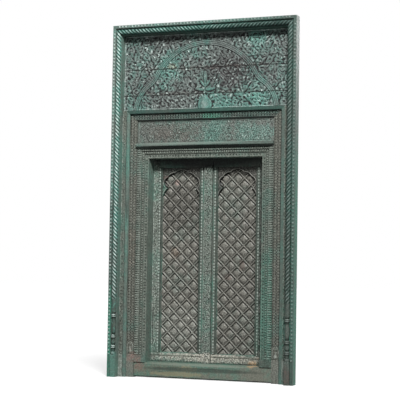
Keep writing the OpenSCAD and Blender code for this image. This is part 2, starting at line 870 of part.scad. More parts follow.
lattice_panel(-1);  // left_lattice_panel
cusped_arch(-1);  // left_cusped_arch
pearl_strips(-1);  // left_pearl_strips
back_ledges(-1);  // left_back_ledges
ledge_nails(-1);  // left_ledge_nails
astragal();
hanging_stile(1);  // right_hanging_stile
meeting_stile(1);  // right_meeting_stile
top_rail(1);  // right_top_rail
bottom_rail(1);  // right_bottom_rail
lattice_panel(1);  // right_lattice_panel
cusped_arch(1);  // right_cusped_arch
pearl_strips(1);  // right_pearl_strips
back_ledges(1);  // right_back_ledges
ledge_nails(1);  // right_ledge_nails
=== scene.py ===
"""Looks of the carved double door: relief carving, worn paint, studio light and camera.

The front faces -Y and +Z is up. Sizes are in millimetres, as a carver lays them out; stains, painted shade,
lamps, camera and finished meshes are in metres. The carving patterns give heights from 0 (ground) to 1
(highest point).
"""
import logging
import math
from dataclasses import dataclass
from enum import Enum
from typing import NamedTuple

import bpy
import numpy as np
from mathutils import Matrix, Vector


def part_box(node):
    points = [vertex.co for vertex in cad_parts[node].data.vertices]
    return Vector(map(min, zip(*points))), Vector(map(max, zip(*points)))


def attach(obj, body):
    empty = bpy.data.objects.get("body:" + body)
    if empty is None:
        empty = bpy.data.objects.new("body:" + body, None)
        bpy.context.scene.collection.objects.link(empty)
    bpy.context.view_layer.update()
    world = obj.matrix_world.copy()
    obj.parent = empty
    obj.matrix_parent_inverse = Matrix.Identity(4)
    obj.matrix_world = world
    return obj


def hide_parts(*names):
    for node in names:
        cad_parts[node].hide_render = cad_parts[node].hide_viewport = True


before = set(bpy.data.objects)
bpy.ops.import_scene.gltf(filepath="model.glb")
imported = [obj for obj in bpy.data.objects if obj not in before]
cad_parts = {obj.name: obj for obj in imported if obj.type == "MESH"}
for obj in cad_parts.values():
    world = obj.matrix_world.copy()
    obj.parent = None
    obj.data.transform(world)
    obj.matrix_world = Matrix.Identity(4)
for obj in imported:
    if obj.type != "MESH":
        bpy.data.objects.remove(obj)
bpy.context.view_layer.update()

Array = np.ndarray
Colour = tuple[float, float, float]
Place = tuple[float, float, float]
Pair = tuple[float, float]
Tone = tuple[int, int, int]
Socket = bpy.types.NodeSocket
LOG = logging.getLogger("carved_door")

MM = 0.001
FULL_TURN = 2.0 * math.pi
# Angles in degrees past which an edge is shaded hard
CREASE = 42.0
ARCH_CREASE = 50.0
LATTICE_CREASE = 55.0
PANEL_CREASE = 60.0
# Carving height that the flat backs are painted as, 0 to 1
REAR_RELIEF = 0.4
# Height of an applied carving's ground above its board, and depth of its back in the board, mm
PROUD = 0.6
SUNK = 4.0
# Least divisor, which keeps a share finite where a width runs out
TINY = 1e-3


class Side(Enum):
    """Side of the door as seen from the front."""

    LEFT = -1
    RIGHT = 1

    @property
    def word(self) -> str:
        """Prefix of the pieces' names on this side."""
        return self.name.lower()

    def span(self, near: float, far: float) -> tuple[float, float]:
        """Left and right edge of what lies from near to far off the door's middle line."""
        return (near, far) if self is Side.RIGHT else (-far, -near)

    def ordered(self, outwards: Array) -> Array:
        """Values that run from the middle line outwards, put in order from left to right."""
        return outwards if self is Side.RIGHT else outwards[::-1]


class Strip(Enum):
    """Carved strips of the inner frame."""

    LEAF = "leaf"
    BEAD = "bead"
    PELLET = "pellet"


class Grain(Enum):
    """Direction in which a board's wood grain runs: noise cells to the metre along each axis."""

    UPRIGHT = (260.0, 260.0, 9.0)
    LEVEL = (9.0, 260.0, 260.0)


class Box(NamedTuple):
    """Extent of a CAD node at rest: the places of its six sides, mm."""

    left: float
    front: float
    foot: float
    right: float
    back: float
    top: float

    @property
    def width(self) -> float:
        """Size across."""
        return self.right - self.left

    @property
    def height(self) -> float:
        """Size upwards."""
        return self.top - self.foot

    @property
    def middle(self) -> float:
        """Place of the middle line across."""
        return (self.left + self.right) / 2.0

    @property
    def level(self) -> float:
        """Place of the middle line upwards."""
        return (self.foot + self.top) / 2.0

    @property
    def near(self) -> float:
        """Distance of the nearer side from the door's middle line."""
        return min(abs(self.left), abs(self.right))

    @property
    def far(self) -> float:
        """Distance of the further side from the door's middle line."""
        return max(abs(self.left), abs(self.right))


def box_of(node: str) -> Box:
    """Extent of the CAD node with this name."""
    low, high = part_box(node)
    return Box(*(np.array(low) / MM), *(np.array(high) / MM))


# Shaping functions

def ease(low: float, high: float, value: Array) -> Array:
    """Smooth step: 0 at low, 1 at high, with the cubic 3t^2 - 2t^3 between them.

    Args:
        low: Value that gives 0.
        high: Value that gives 1; it may lie below low.
        value: Values to map.

    Returns:
        Numbers from 0 to 1.
    """
    t = np.clip((value - low) / (high - low), 0.0, 1.0)
    return t * t * (3.0 - 2.0 * t)


def hump(distance: Array, half: float | Array) -> Array:
    """Round ridge: sqrt(1 - (d / half)^2), and 0 beyond half."""
    return np.sqrt(np.clip(1.0 - (distance / half) ** 2, 0.0, 1.0))


def saw(value: Array) -> Array:
    """Part of a value above its floor, less a half: runs from -0.5 to 0.5."""
    return value - np.floor(value) - 0.5


def chance(i: Array, j: Array, salt: float) -> Array:
    """Repeatable number from 0 to 1 for each pair of cell numbers: the fraction of a large sine."""
    wave = np.sin(i * 127.1 + j * 311.7 + salt * 74.7) * 43758.5453
    return wave - np.floor(wave)


def polar(dx: Array, dz: Array) -> tuple[Array, Array]:
    """Distance and angle of points about a centre."""
    return np.hypot(dx, dz), np.arctan2(dz, dx)


# Carving patterns

def rosette(dx: Array, dz: Array, radius: float, petals: int, turn: float = 0.0) -> Array:
    """Open flower: petals whose edge swings with |cos(n a / 2)| from 0.62 to 1 of the radius, round a heart.

    Args:
        dx, dz: Offsets from the flower's centre across and upwards.
        radius: Radius of the petals' tips.
        petals: Number of petals.
        turn: Turn of the flower, radians.

    Returns:
        Heights from 0 to 1.
    """
    r, a = polar(dx, dz)
    swing = np.abs(np.cos(petals * (a + turn) / 2.0))
    edge = radius * (0.62 + 0.38 * swing)
    petal = hump(r - 0.60 * edge, 0.42 * edge) * (0.55 + 0.45 * swing)
    return np.maximum(0.85 * petal, hump(r, 0.24 * radius))


def volute(dx: Array, dz: Array, radius: float, turns: float, hand: Array, start: Array) -> Array:
    """Coiled stem: a ridge along the spiral r = radius (a - start) / (2 pi turns), cut off at radius.

    Args:
        dx, dz: Offsets from the coil's centre across and upwards.
        radius: Outer radius.
        turns: Turns of the stem from the centre to the rim.
        hand: 1 for a left-hand coil, -1 for a right-hand one.
        start: Angle at which the coil ends, radians.

    Returns:
        Heights from 0 to 1.
    """
    r, a = polar(dx, dz)
    ring = r / radius * turns - hand * (a - start) / FULL_TURN
    stem = hump(saw(ring), 0.28)
    return np.maximum(stem * ease(radius, 0.88 * radius, r), hump(r, 0.17 * radius))


def leaf_fringe(dx: Array, dz: Array, near: float, far: float, leaves: int, turn: float) -> Array:
    """Ring of pointed leaves, as wide as sin(pi t^0.8) from near to far, each split by its midrib.

    Args:
        dx, dz: Offsets from the ring's centre across and upwards.
        near: Radius of the leaves' feet.
        far: Radius of the leaves' tips.
        leaves: Number of leaves.
        turn: Turn of the ring, radians.

    Returns:
        Heights from 0 to 1.
    """
    r, a = polar(dx, dz)
    t = np.clip((r - near) / (far - near), 0.0, 1.0)
    across = np.abs(saw((a + turn) * leaves / FULL_TURN))
    width = 0.06 + 0.38 * np.sin(math.pi * t ** 0.8)
    blade = np.sqrt(np.clip(1.0 - across / width, 0.0, 1.0))
    return blade * (1.0 - 0.4 * hump(across, 0.05)) * (r > near) * (r < far)


def single_leaf(dx: Array, dz: Array, length: float, width: float, lean: float) -> Array:
    """One leaf from its foot: an ellipse along a line that leans from upright, with a midrib cut in.

    Args:
        dx, dz: Offsets from the leaf's foot across and upwards.
        length: Length of the leaf.
        width: Width of the leaf.
        lean: Angle from upright towards the right, radians.

    Returns:
        Heights from 0 to 1.
    """
    along = dx * math.sin(lean) + dz * math.cos(lean) - length / 2.0
    across = dx * math.cos(lean) - dz * math.sin(lean)
    blade = hump(np.hypot(along / (length / 2.0), across / (width / 2.0)), 1.0)
    return blade * (1.0 - 0.35 * hump(across, 0.09 * width))


def staggered(x: Array, z: Array, pitch: float, rise: float) -> tuple[Array, Array, Array, Array]:
    """Nearest centre of a staggered grid: rows rise apart, every second row shifted by half a pitch.

    Args:
        x, z: Places across and upwards.
        pitch: Distance of centres in a row.
        rise: Distance of rows.

    Returns:
        Offsets dx and dz from the nearest centre, and its column and row numbers.
    """
    best = None
    base = np.floor(z / rise)
    for step in (0.0, 1.0):
        row = base + step
        shift = np.where(np.mod(row, 2.0) == 0.0, 0.0, 0.5)
        column = np.round(x / pitch - shift)
        dx = x - (column + shift) * pitch
        dz = z - row * rise
        far = dx * dx + dz * dz
        found = [far, dx, dz, column, row]
        best = found if best is None else [np.where(far < best[0], b, a) for a, b in zip(best, found)]
    return best[1], best[2], best[3], best[4]


def leaf_layer(x: Array, z: Array, pitch: float, salt: float) -> Array:
    """Scattered leaves: one bent, pointed leaf in each cell of a staggered grid, turned by chance.

    Args:
        x, z: Places across and upwards.
        pitch: Length of a leaf.
        salt: Changes the leaves' turns, bends and heights.

    Returns:
        Heights from 0 to 1.
    """
    dx, dz, i, j = staggered(x, z, pitch, 0.8 * pitch)
    turn = FULL_TURN * chance(i, j, salt)
    along = (dx * np.cos(turn) + dz * np.sin(turn)) / pitch
    bend = 3.0 * (chance(i, j, salt + 1.0) - 0.5)
    across = (dz * np.cos(turn) - dx * np.sin(turn)) / pitch - bend * (along ** 2 - 0.08)
    blade = hump(np.hypot(along / 0.52, across / np.maximum(0.22 - 0.25 * along, 0.05)), 1.0)
    return blade * (1.0 - 0.45 * hump(across, 0.035)) * (0.4 + 0.6 * chance(i, j, salt + 3.0))


def foliage(x: Array, z: Array, pitch: float, salt: float) -> Array:
    """Scrolling foliage: coils of stem on a wavy staggered grid, under two layers of scattered leaves.

    Args:
        x, z: Places across and upwards.
        pitch: Distance of the coils.
        salt: Changes the coils' and leaves' turns.

    Returns:
        Heights from 0 to 1.
    """
    wave_x = x + 0.14 * pitch * np.sin(2.6 * z / pitch + salt)
    wave_z = z + 0.14 * pitch * np.sin(3.1 * x / pitch + 2.0 * salt)
    dx, dz, i, j = staggered(wave_x, wave_z, pitch, pitch * 0.84)
    hand = np.where(chance(i, j, salt + 2.0) > 0.5, 1.0, -1.0)
    coil = volute(dx, dz, 0.46 * pitch, 1.5, hand, FULL_TURN * chance(i, j, salt + 1.0))
    large = leaf_layer(wave_x, wave_z, 0.52 * pitch, salt)
    small = leaf_layer(wave_x + 0.23 * pitch, wave_z + 0.17 * pitch, 0.46 * pitch, salt + 4.0)
    return np.maximum.reduce([0.7 * coil, large, small])


def tongues(across: Array, along: Array, half: float, pitch: float) -> Array:
    """Leaf moulding: a row of round-ended tongues, each a hump as wide as its outline allows.

    Args:
        across: Offset from the moulding's middle line.
        along: Place along the moulding.
        half: Half width of the moulding.
        pitch: Distance of the tongues.

    Returns:
        Heights from 0 to 1.
    """
    t = (across + half) / (2.0 * half)
    width = 0.47 * np.sqrt(np.clip(1.0 - 0.85 * t ** 3, 0.0, 1.0))
    blade = hump(saw(along / pitch), np.maximum(width, TINY))
    rib = hump(saw(along / pitch), 0.07) * (t < 0.8)
    return np.clip(blade - 0.22 * rib, 0.0, 1.0)


def beads(across: Array, along: Array, radius: float, pitch: float) -> Array:
    """Row of half-round beads along a band."""
    return hump(np.hypot(across, saw(along / pitch) * pitch), radius)


def edge_lines(across: Array, half: float, line: float) -> Array:
    """Round lines of half width line along both edges of a band of half width half."""
    return hump(np.abs(across) - half + line, line)


def niche(across: Array, z: Array, half: float, foot: float, top: float) -> Array:
    """Arched niche: a rim along a pointed arch, and in it a round pot with neck, lip, bloom and leaves.

    Args:
        across: Offset from the niche's middle line.
        z: Heights above the floor.
        half: Half width of the niche, mm; the parts' sizes and places are shares of it.
        foot: Height of the niche's foot.
        top: Height of the arch's point.

    Returns:
        Heights from 0 to 1.
    """
    up, spring = z - foot, top - 1.5 * half
    bend = np.clip((z - spring) / (top - spring), 0.0, 1.0) ** 1.6
    reach = half * np.sqrt(1.0 - bend)
    rim = hump(np.abs(across) - reach + 0.10 * half, 0.13 * half) * (up > 0.0) * (z < top + 2.0)
    pot = hump(np.hypot(across, (up - 0.75 * half) * 0.9), 0.60 * half)
    neck = hump(across, 0.22 * half) * (up > 1.2 * half) * (up < 1.9 * half)
    lip = hump(across, 0.50 * half) * hump(up - 1.9 * half, 0.14 * half)
    bloom = rosette(across, up - 3.2 * half, 0.75 * half, 8)
    stem = hump(across, 0.08 * half) * (up > 1.9 * half) * (up < 3.2 * half)
    leaf_z = saw((up - 4.0 * half) / (1.1 * half)) * 1.1 * half
    spray = leaf_fringe(np.abs(across), leaf_z, 0.05 * half, 0.7 * half, 6, 0.3)
    spray = spray * (up > 4.0 * half) * (z < spring)
    body = np.maximum.reduce([pot, 0.9 * neck, 0.9 * lip, 0.8 * bloom, 0.6 * stem, 0.6 * spray])
    return np.maximum(rim, body * (np.abs(across) < reach))


@dataclass(frozen=True)
class FoliageBand:
    """Narrow band of foliage between two edge lines. Sizes in mm."""

    # Distance of the coils, number that changes their turns
    pitch: float
    salt: float
    # Half width of the edge lines, distance of the foliage from the edges, height of the lines from 0 to 1
    line: float
    margin: float
    edge: float

    def shape(self, across: Array, along: Array, half: float) -> Array:
        """Foliage cut off at the margins, and a round line along each edge.

        Args:
            across: Offset from the band's middle line.
            along: Place along the band.
            half: Half width of the band.

        Returns:
            Heights from 0 to 1.
        """
        leaves = foliage(across, along, self.pitch, self.salt) * (np.abs(across) < half - self.margin)
        return np.maximum(leaves, self.edge * edge_lines(across, half, self.line))


# Meshes

@dataclass
class Carving:
    """Carved board: a front on a grid with columns to the right and rows upwards, side walls and a flat back.

    Attributes:
        x: Places across, mm, one row of the array for each row of the grid.
        z: Heights.
        y: Depths of the front.
        back: Depth of the flat back.
        relief: Tone at the grid's points, 0 to 1: the carving height, with painted shade and painted
            highlight worked in on some pieces.
        tint: Share of sound paint at the grid's points, 0 where left out.
    """

    x: Array
    z: Array
    y: Array
    back: float
    relief: Array
    tint: Array | None = None

    @property
    def number(self) -> Array:
        """Numbers of the front's points, laid out as the grid."""
        return np.arange(self.x.size).reshape(self.x.shape)

    @property
    def ring(self) -> Array:
        """Numbers of the points round the front's edge, from the lower left corner."""
        number = self.number
        return np.concatenate([number[0, :-1], number[:-1, -1], number[-1, :0:-1], number[:0:-1, 0]])

    def points(self) -> Array:
        """Places of the front's points and of the back's, one behind each edge point.

        Returns:
            One row for each point, metres.
        """
        front = np.stack([self.x.ravel(), self.y.ravel(), self.z.ravel()], -1)
        behind = front[self.ring]
        behind[:, 1] = self.back
        return np.concatenate([front, behind]) * MM

    def faces(self) -> tuple[Array, Array]:
        """Faces of the front, the walls and the back.

        Returns:
            Point numbers of all faces in a row, and the number of corners of each face.
        """
        number, ring = self.number, self.ring
        corners = [number[:-1, :-1], number[:-1, 1:], number[1:, 1:], number[1:, :-1]]
        quads = np.stack(corners, -1).reshape(-1, 4)
        rear = np.arange(len(ring)) + number.size
        walls = np.stack([ring, rear, np.roll(rear, -1), np.roll(ring, -1)], -1)
        sizes = np.append(np.full(len(quads) + len(walls), 4), len(rear))
        return np.concatenate([quads.ravel(), walls.ravel(), rear[::-1]]), sizes

    def tones(self) -> tuple[Array, Array]:
        """Carving height and share of sound paint at all points; the back has one tone.

        Returns:
            Two arrays of numbers from 0 to 1.
        """
        ring = self.ring
        sound = np.zeros(self.x.size) if self.tint is None else self.tint.ravel()
        relief = np.append(self.relief.ravel(), np.full(len(ring), REAR_RELIEF))
        return relief, np.append(sound, np.full(len(ring), sound[ring].mean()))


def build_mesh(name: str, boards: list[Carving], crease: float) -> bpy.types.Object:
    """Makes one object of carved boards, with its "relief" and "tint" attributes.

    Args:
        name: Name of the piece.
        boards: Its boards.
        crease: Edges sharper than this angle in degrees are shaded hard.

    Returns:
        The new object, at the origin.
    """
    spots = [board.points() for board in boards]
    starts = np.cumsum([0] + [len(spot) for spot in spots])
    faces = [board.faces() for board in boards]
    points = np.concatenate(spots)
    loops = np.concatenate([corners + start for (corners, _), start in zip(faces, starts)])
    sizes = np.concatenate([counts for _, counts in faces])
    relief, tint = (np.concatenate(tones) for tones in zip(*(board.tones() for board in boards)))
    mesh = bpy.data.meshes.new(name)
    mesh.vertices.add(len(points))
    mesh.vertices.foreach_set("co", points.astype(np.float32).ravel())
    mesh.loops.add(len(loops))
    mesh.loops.foreach_set("vertex_index", loops.astype(np.int32))
    mesh.polygons.add(len(sizes))
    mesh.polygons.foreach_set("loop_start", (np.cumsum(sizes) - sizes).astype(np.int32))
    for key, values in (("relief", relief), ("tint", tint)):
        layer = mesh.attributes.new(key, "FLOAT", "POINT")
        layer.data.foreach_set("value", values.astype(np.float32))
    mesh.update(calc_edges=True)
    mesh.polygons.foreach_set("use_smooth", np.ones(len(sizes), dtype=bool))
    mesh.set_sharp_from_angle(angle=math.radians(crease))
    piece = bpy.data.objects.new(name, mesh)
    bpy.context.scene.collection.objects.link(piece)
    return piece


def lay_grid(x_low: Array | float, x_high: Array | float, z_low: Array | float, z_high: Array | float,
             columns: int, rows: int) -> tuple[Array, Array]:
    """Straight-sided grid between two edges: x = low + u (high - low), and z in the same way with v.

    Args:
        x_low: Left edge, mm; an array with one value for each row makes slanting ends.
        x_high: Right edge.
        z_low: Lower edge, mm; an array with one value for each column makes slanting ends.
        z_high: Upper edge.
        columns: Points across.
        rows: Points upwards.

    Returns:
        Places x and z in mm, one row of the arrays for each row of the grid.
    """
    u, v = np.meshgrid(np.linspace(0.0, 1.0, columns), np.linspace(0.0, 1.0, rows))
    column = [np.broadcast_to(np.asarray(e, float).reshape(-1, 1), u.shape) for e in (x_low, x_high)]
    row = [np.broadcast_to(np.asarray(e, float).reshape(1, -1), u.shape) for e in (z_low, z_high)]
    return column[0] + u * (column[1] - column[0]), row[0] + v * (row[1] - row[0])


def steps(length: float, size: float) -> int:
    """Points needed to cover a length in steps of about the given size."""
    return max(3, int(round(length / size)) + 1)


def cover(box: Box, across: float, upwards: float) -> tuple[Array, Array]:
    """Grid over a box's front, with points about across and upwards mm apart."""
    columns, rows = steps(box.width, across), steps(box.height, upwards)
    return lay_grid(box.left, box.right, box.foot, box.top, columns, rows)


# Paint

def linear(tone: Tone) -> Colour:
    """Scene colour of a tone read on a colour chart in steps of 0 to 255."""
    share = np.array(tone) / 255.0
    return tuple(np.where(share <= 0.04045, share / 12.92, ((share + 0.055) / 1.055) ** 2.4).tolist())


class Graph:
    """Places and joins nodes in a material, a world or a node group."""

    # Socket numbers of a Mix node that blends colours
    AMOUNT, FIRST, SECOND, RESULT = 0, 6, 7, 2

    def __init__(self, tree: bpy.types.NodeTree) -> None:
        """Keeps the tree that the nodes go into."""
        self.tree = tree

    def add(self, kind: str, **settings: object) -> bpy.types.Node:
        """Adds a node.

        Args:
            kind: Type of the node.
            settings: Its properties.

        Returns:
            The new node.
        """
        node = self.tree.nodes.new(kind)
        for key, value in settings.items():
            setattr(node, key, value)
        return node

    def feed(self, socket: Socket, value: object) -> None:
        """Links an output socket to an input, or sets the input's own value.

        Args:
            socket: The input.
            value: An output socket, a number, a vector or a colour.
        """
        if isinstance(value, Socket):
            self.tree.links.new(value, socket)
        elif isinstance(value, tuple) and len(value) == 3 and socket.type == "RGBA":
            socket.default_value = (*value, 1.0)
        else:
            socket.default_value = value

    def join(self, node: bpy.types.Node, output: int | str, **values: object) -> Socket:
        """Feeds a node's inputs by name, with a space for each underscore, and hands on one of its outputs.

        Args:
            node: The node.
            output: Name or number of the output.
            values: What its inputs take.

        Returns:
            The output.
        """
        for key, value in values.items():
            self.feed(node.inputs[key.replace("_", " ")], value)
        return node.outputs[output]

    def paired(self, node: bpy.types.Node, *values: object) -> bpy.types.Node:
        """Feeds a node's first inputs in order.

        Args:
            node: The node.
            values: What its inputs take.

        Returns:
            The same node.
        """
        for socket, value in zip(node.inputs, values):
            self.feed(socket, value)
        return node

    def maths(self, kind: str, a: object, b: object) -> Socket:
        """Math node on two values."""
        return self.paired(self.add("ShaderNodeMath", operation=kind), a, b).outputs[0]

    def plus(self, a: object, b: object) -> Socket:
        """Sum of two values."""
        return self.maths("ADD", a, b)

    def minus(self, a: object, b: object) -> Socket:
        """First value less the second."""
        return self.maths("SUBTRACT", a, b)

    def times(self, a: object, b: object) -> Socket:
        """Product of two values."""
        return self.maths("MULTIPLY", a, b)

    def swing(self, value: object, reach: object) -> Socket:
        """Value about a half, stretched: (value - 0.5) times reach."""
        return self.times(self.minus(value, 0.5), reach)

    def step(self, value: object, low: object, high: object) -> Socket:
        """Smooth step of a value from low to high."""
        node = self.add("ShaderNodeMapRange", interpolation_type="SMOOTHSTEP")
        return self.join(node, 0, Value=value, From_Min=low, From_Max=high)

    def blend(self, amount: object, a: object, b: object) -> Socket:
        """Mix of two colours.

        Args:
            amount: Share of the second colour.
            a: First colour.
            b: Second colour.

        Returns:
            The mixed colour.
        """
        node = self.add("ShaderNodeMix", data_type="RGBA", blend_type="MIX")
        for number, value in ((self.AMOUNT, amount), (self.FIRST, a), (self.SECOND, b)):
            self.feed(node.inputs[number], value)
        return node.outputs[self.RESULT]

    def noise(self, place: object, scale: float, detail: float, rough: float = 0.55) -> Socket:
        """Noise value at a place."""
        node = self.add("ShaderNodeTexNoise")
        return self.join(node, 0, Vector=place, Scale=scale, Detail=detail, Roughness=rough)

    def vector(self, kind: str, *values: object) -> Socket:
        """Vector result of a vector node."""
        return self.paired(self.add("ShaderNodeVectorMath", operation=kind), *values).outputs[0]

    def length(self, value: object) -> Socket:
        """Length of a vector."""
        return self.paired(self.add("ShaderNodeVectorMath", operation="LENGTH"), value).outputs["Value"]

    def bump(self, height: object, strength: float, distance: float) -> Socket:
        """Surface direction that follows a height."""
        node = self.add("ShaderNodeBump")
        return self.join(node, "Normal", Height=height, Strength=strength, Distance=distance)

    def group(self, tree: bpy.types.NodeTree, **values: object) -> bpy.types.Node:
        """Adds a node group and feeds its inputs.

        Args:
            tree: The group.
            values: What its inputs take.

        Returns:
            The new node.
        """
        node = self.add("ShaderNodeGroup", node_tree=tree)
        self.join(node, 0, **values)
        return node

    def seen(self) -> Socket:
        """1 for rays from the camera, in reflections and through glass, 0 for light."""
        path = self.add("ShaderNodeLightPath").outputs
        return self.maths("MAXIMUM", path["Is Camera Ray"],
                          self.maths("MAXIMUM", path["Is Glossy Ray"], path["Is Transmission Ray"]))


class PaintShop:
    """Node groups that the finishes share, each built once."""

    VECTOR, COLOUR, VALUE = "NodeSocketVector", "NodeSocketColor", "NodeSocketFloat"
    # Noise cells to the metre in worn paint, and along each axis in its streaks
    BROAD, MIDDLE, FINE, SPECK = 3.2, 26.0, 150.0, 85.0
    STREAK = (55.0, 55.0, 3.0)
    # Size of the wood's checks beside its grain lines
    CHECK = (0.22, 0.22, 0.22)
    # Noise cells to the metre in a patch's edge and in its specks
    TORN, DOTTED = 24.0, 95.0

    def __init__(self) -> None:
        """Builds the groups for worn paint, wood grain, and patches of stains, painted shade and painted
        highlight.
        """
        self.worn_paint = self.make_worn_paint()
        self.wood_grain = self.make_wood_grain()
        self.stain_and_shade = self.make_stain_and_shade()

    @staticmethod
    def start(name: str, inputs: dict[str, tuple[str, object]],
              outputs: dict[str, str]) -> tuple[Graph, dict, dict]:
        """Starts a group with named sockets.

        Args:
            name: Name of the group.
            inputs: Socket type and default value of each input, by name.
            outputs: Socket type of each output, by name.

        Returns:
            The group's graph, its inputs by name, and the sockets that take its outputs.
        """
        tree = bpy.data.node_groups.new(name, "ShaderNodeTree")
        for key, (kind, value) in inputs.items():
            socket = tree.interface.new_socket(name=key, in_out="INPUT", socket_type=kind)
            if value is not None:
                socket.default_value = value
        for key, kind in outputs.items():
            tree.interface.new_socket(name=key, in_out="OUTPUT", socket_type=kind)
        graph = Graph(tree)
        given = graph.add("NodeGroupInput").outputs
        taken = graph.add("NodeGroupOutput").inputs
        return graph, {key: given[key] for key in inputs}, {key: taken[key] for key in outputs}

    def make_worn_paint(self) -> bpy.types.NodeTree:
        """Paint that is dark in the cuts, pale on the high points, and chipped to the wood.

        Broad and middling noise spread the faded paint. High relief takes the pale tone, which is rubbed
        paint and a painted highlight. Where the sum of middling, fine and streaky noise passes a limit that
        Chips lowers, the wood shows. Low relief takes the grime, which is dirt in the cuts and the painted
        shade that the relief tone carries. Streaks and specks lighten and darken the whole.

        Returns:
            The group.
        """
        grey = (0.5, 0.5, 0.5, 1.0)
        values = {"Relief": 0.55, "Fade": 0.5, "Highlight": 0.5, "Chips": 0.4, "Speckle": 0.3, "Matt": 0.36}
        inputs = {"Place": (self.VECTOR, None)}
        inputs |= {key: (self.COLOUR, grey) for key in ("Paint", "Faded", "Pale", "Wood", "Grime")}
        inputs |= {key: (self.VALUE, value) for key, value in values.items()}
        outputs = {"Colour": self.COLOUR, "Roughness": self.VALUE, "Height": self.VALUE}
        graph, given, taken = self.start("worn_paint", inputs, outputs)
        place, relief = given["Place"], given["Relief"]
        broad = graph.noise(place, self.BROAD, 3.0)
        middle = graph.noise(place, self.MIDDLE, 4.0, 0.6)
        fine = graph.noise(place, self.FINE, 3.0, 0.6)
        streak = graph.noise(graph.vector("MULTIPLY", place, self.STREAK), 1.0, 3.0)
        speck = graph.step(graph.noise(place, self.SPECK, 2.0, 0.6), 0.34, 0.66)
        spread = graph.plus(graph.swing(broad, 2.2), graph.swing(middle, 1.1))
        faded = graph.step(graph.plus(given["Fade"], spread), 0.15, 0.85)
        coat = graph.blend(faded, given["Paint"], given["Faded"])
        # Painted highlight: high relief takes the pale tone, as rubbed paint and as a highlight
        rubbed = graph.step(graph.plus(relief, graph.swing(fine, 0.5)), 0.55, 1.0)
        rubbed = graph.times(graph.times(rubbed, given["Highlight"]), graph.step(middle, 0.25, 0.65))
        lit = graph.blend(rubbed, coat, given["Pale"])
        small = graph.plus(graph.times(fine, 0.30), graph.times(streak, 0.30))
        loose = graph.plus(graph.times(middle, 0.55), small)
        limit = graph.minus(0.92, graph.times(given["Chips"], 0.5))
        bare = graph.step(loose, limit, graph.plus(limit, 0.10))
        chipped = graph.blend(bare, lit, given["Wood"])
        # Grime: dirt in the cuts, and painted shade where the relief tone is low
        clean = graph.step(graph.plus(relief, graph.swing(middle, 0.30)), -0.02, 0.42)
        grimed_and_shaded = graph.blend(clean, given["Grime"], chipped)
        light = graph.plus(graph.plus(0.86, graph.times(streak, 0.28)), graph.swing(speck, given["Speckle"]))
        toned = graph.paired(graph.add("ShaderNodeVectorMath", operation="SCALE"), grimed_and_shaded)
        graph.feed(taken["Colour"], graph.join(toned, 0, Scale=light))
        graph.feed(taken["Roughness"], graph.plus(given["Matt"], graph.times(fine, 0.30)))
        graph.feed(taken["Height"], graph.plus(graph.times(fine, 0.5), graph.times(bare, -0.35)))
        return graph.tree

    def make_wood_grain(self) -> bpy.types.NodeTree:
        """Grain lines and open checks: noise drawn out along the board.

        Returns:
            The group.
        """
        outputs = {"Lines": self.VALUE, "Checks": self.VALUE}
        graph, given, taken = self.start("wood_grain", {"Place": (self.VECTOR, None)}, outputs)
        coarse = graph.noise(graph.vector("MULTIPLY", given["Place"], self.CHECK), 1.0, 2.0)
        graph.feed(taken["Lines"], graph.noise(given["Place"], 1.0, 4.0, 0.65))
        graph.feed(taken["Checks"], graph.step(coarse, 0.36, 0.30))
        return graph.tree

    def make_stain_and_shade(self) -> bpy.types.NodeTree:
        """Speckled patch: up to 1 inside an ellipsoid about its centre, with a ragged edge, 0 outside.

        Returns:
            The group.
        """
        inputs = {"Place": (self.VECTOR, None), "Centre": (self.VECTOR, (0.0, 0.0, 0.0)),
                  "Reach": (self.VECTOR, (0.1, 0.1, 0.1)), "Ragged": (self.VALUE, 0.6),
                  "Solid": (self.VALUE, 0.35)}
        graph, given, taken = self.start("stain_and_shade", inputs, {"Mask": self.VALUE})
        away = graph.vector("SUBTRACT", given["Place"], given["Centre"])
        share = graph.length(graph.vector("DIVIDE", away, given["Reach"]))
        torn = graph.swing(graph.noise(given["Place"], self.TORN, 4.0, 0.6), given["Ragged"])
        body = graph.step(graph.plus(share, graph.times(torn, 2.0)), 1.05, 0.55)
        specks = graph.step(graph.noise(given["Place"], self.DOTTED, 2.0), 0.38, 0.58)
        open_part = graph.times(graph.minus(1.0, given["Solid"]), specks)
        graph.feed(taken["Mask"], graph.times(body, graph.plus(given["Solid"], open_part)))
        return graph.tree


PINK_UNDERCOAT = (150, 104, 98)
RED_DUST = (108, 84, 78)
TAN_WOOD = (190, 156, 116)
GREY_WOOD = (98, 94, 87)
BROWN_WOOD = (86, 77, 70)
DULL_GREEN = (42, 50, 45)
BARE_CUT = (44, 38, 32)
# Dark tone of the painted shade on the lower cornice's downward face
UNDERSIDE_SHADE = (30, 33, 31)
# Near-black tone of the lintel's painted shadow on the leaves' tops
LINTEL_SHADOW = (17, 19, 18)


@dataclass(frozen=True)
class Patch:
    """Patch on a finish (stains as well as painted shade and highlight): an ellipsoid's middle and half
    sizes, metres, and its colour as chart steps.
    """

    centre: Place
    reach: Place
    tone: Tone
    # How strongly it covers, how torn its edge is, and True where it covers the carving's shading too
    amount: float = 0.7
    ragged: float = 0.6
    over: bool = False

    def mask(self, graph: Graph, shop: PaintShop, place: Socket) -> Socket:
        """Share of the patch at each place.

        Args:
            graph: Graph of the material.
            shop: Shared node groups.
            place: Object coordinates.

        Returns:
            Socket with values from 0 to the patch's amount.
        """
        solid = 0.9 if self.over else 0.35
        stain_and_shade = graph.group(shop.stain_and_shade, Place=place, Centre=self.centre, Reach=self.reach, Ragged=self.ragged,
                            Solid=solid)
        return graph.times(stain_and_shade.outputs["Mask"], self.amount)


def start_material(name: str) -> tuple[bpy.types.Material, Graph, bpy.types.Node]:
    """Starts a material.

    Args:
        name: Its name.

    Returns:
        The material, its graph and its Principled shader.
    """
    material = bpy.data.materials.new(name)
    material.use_nodes = True
    return material, Graph(material.node_tree), material.node_tree.nodes["Principled BSDF"]


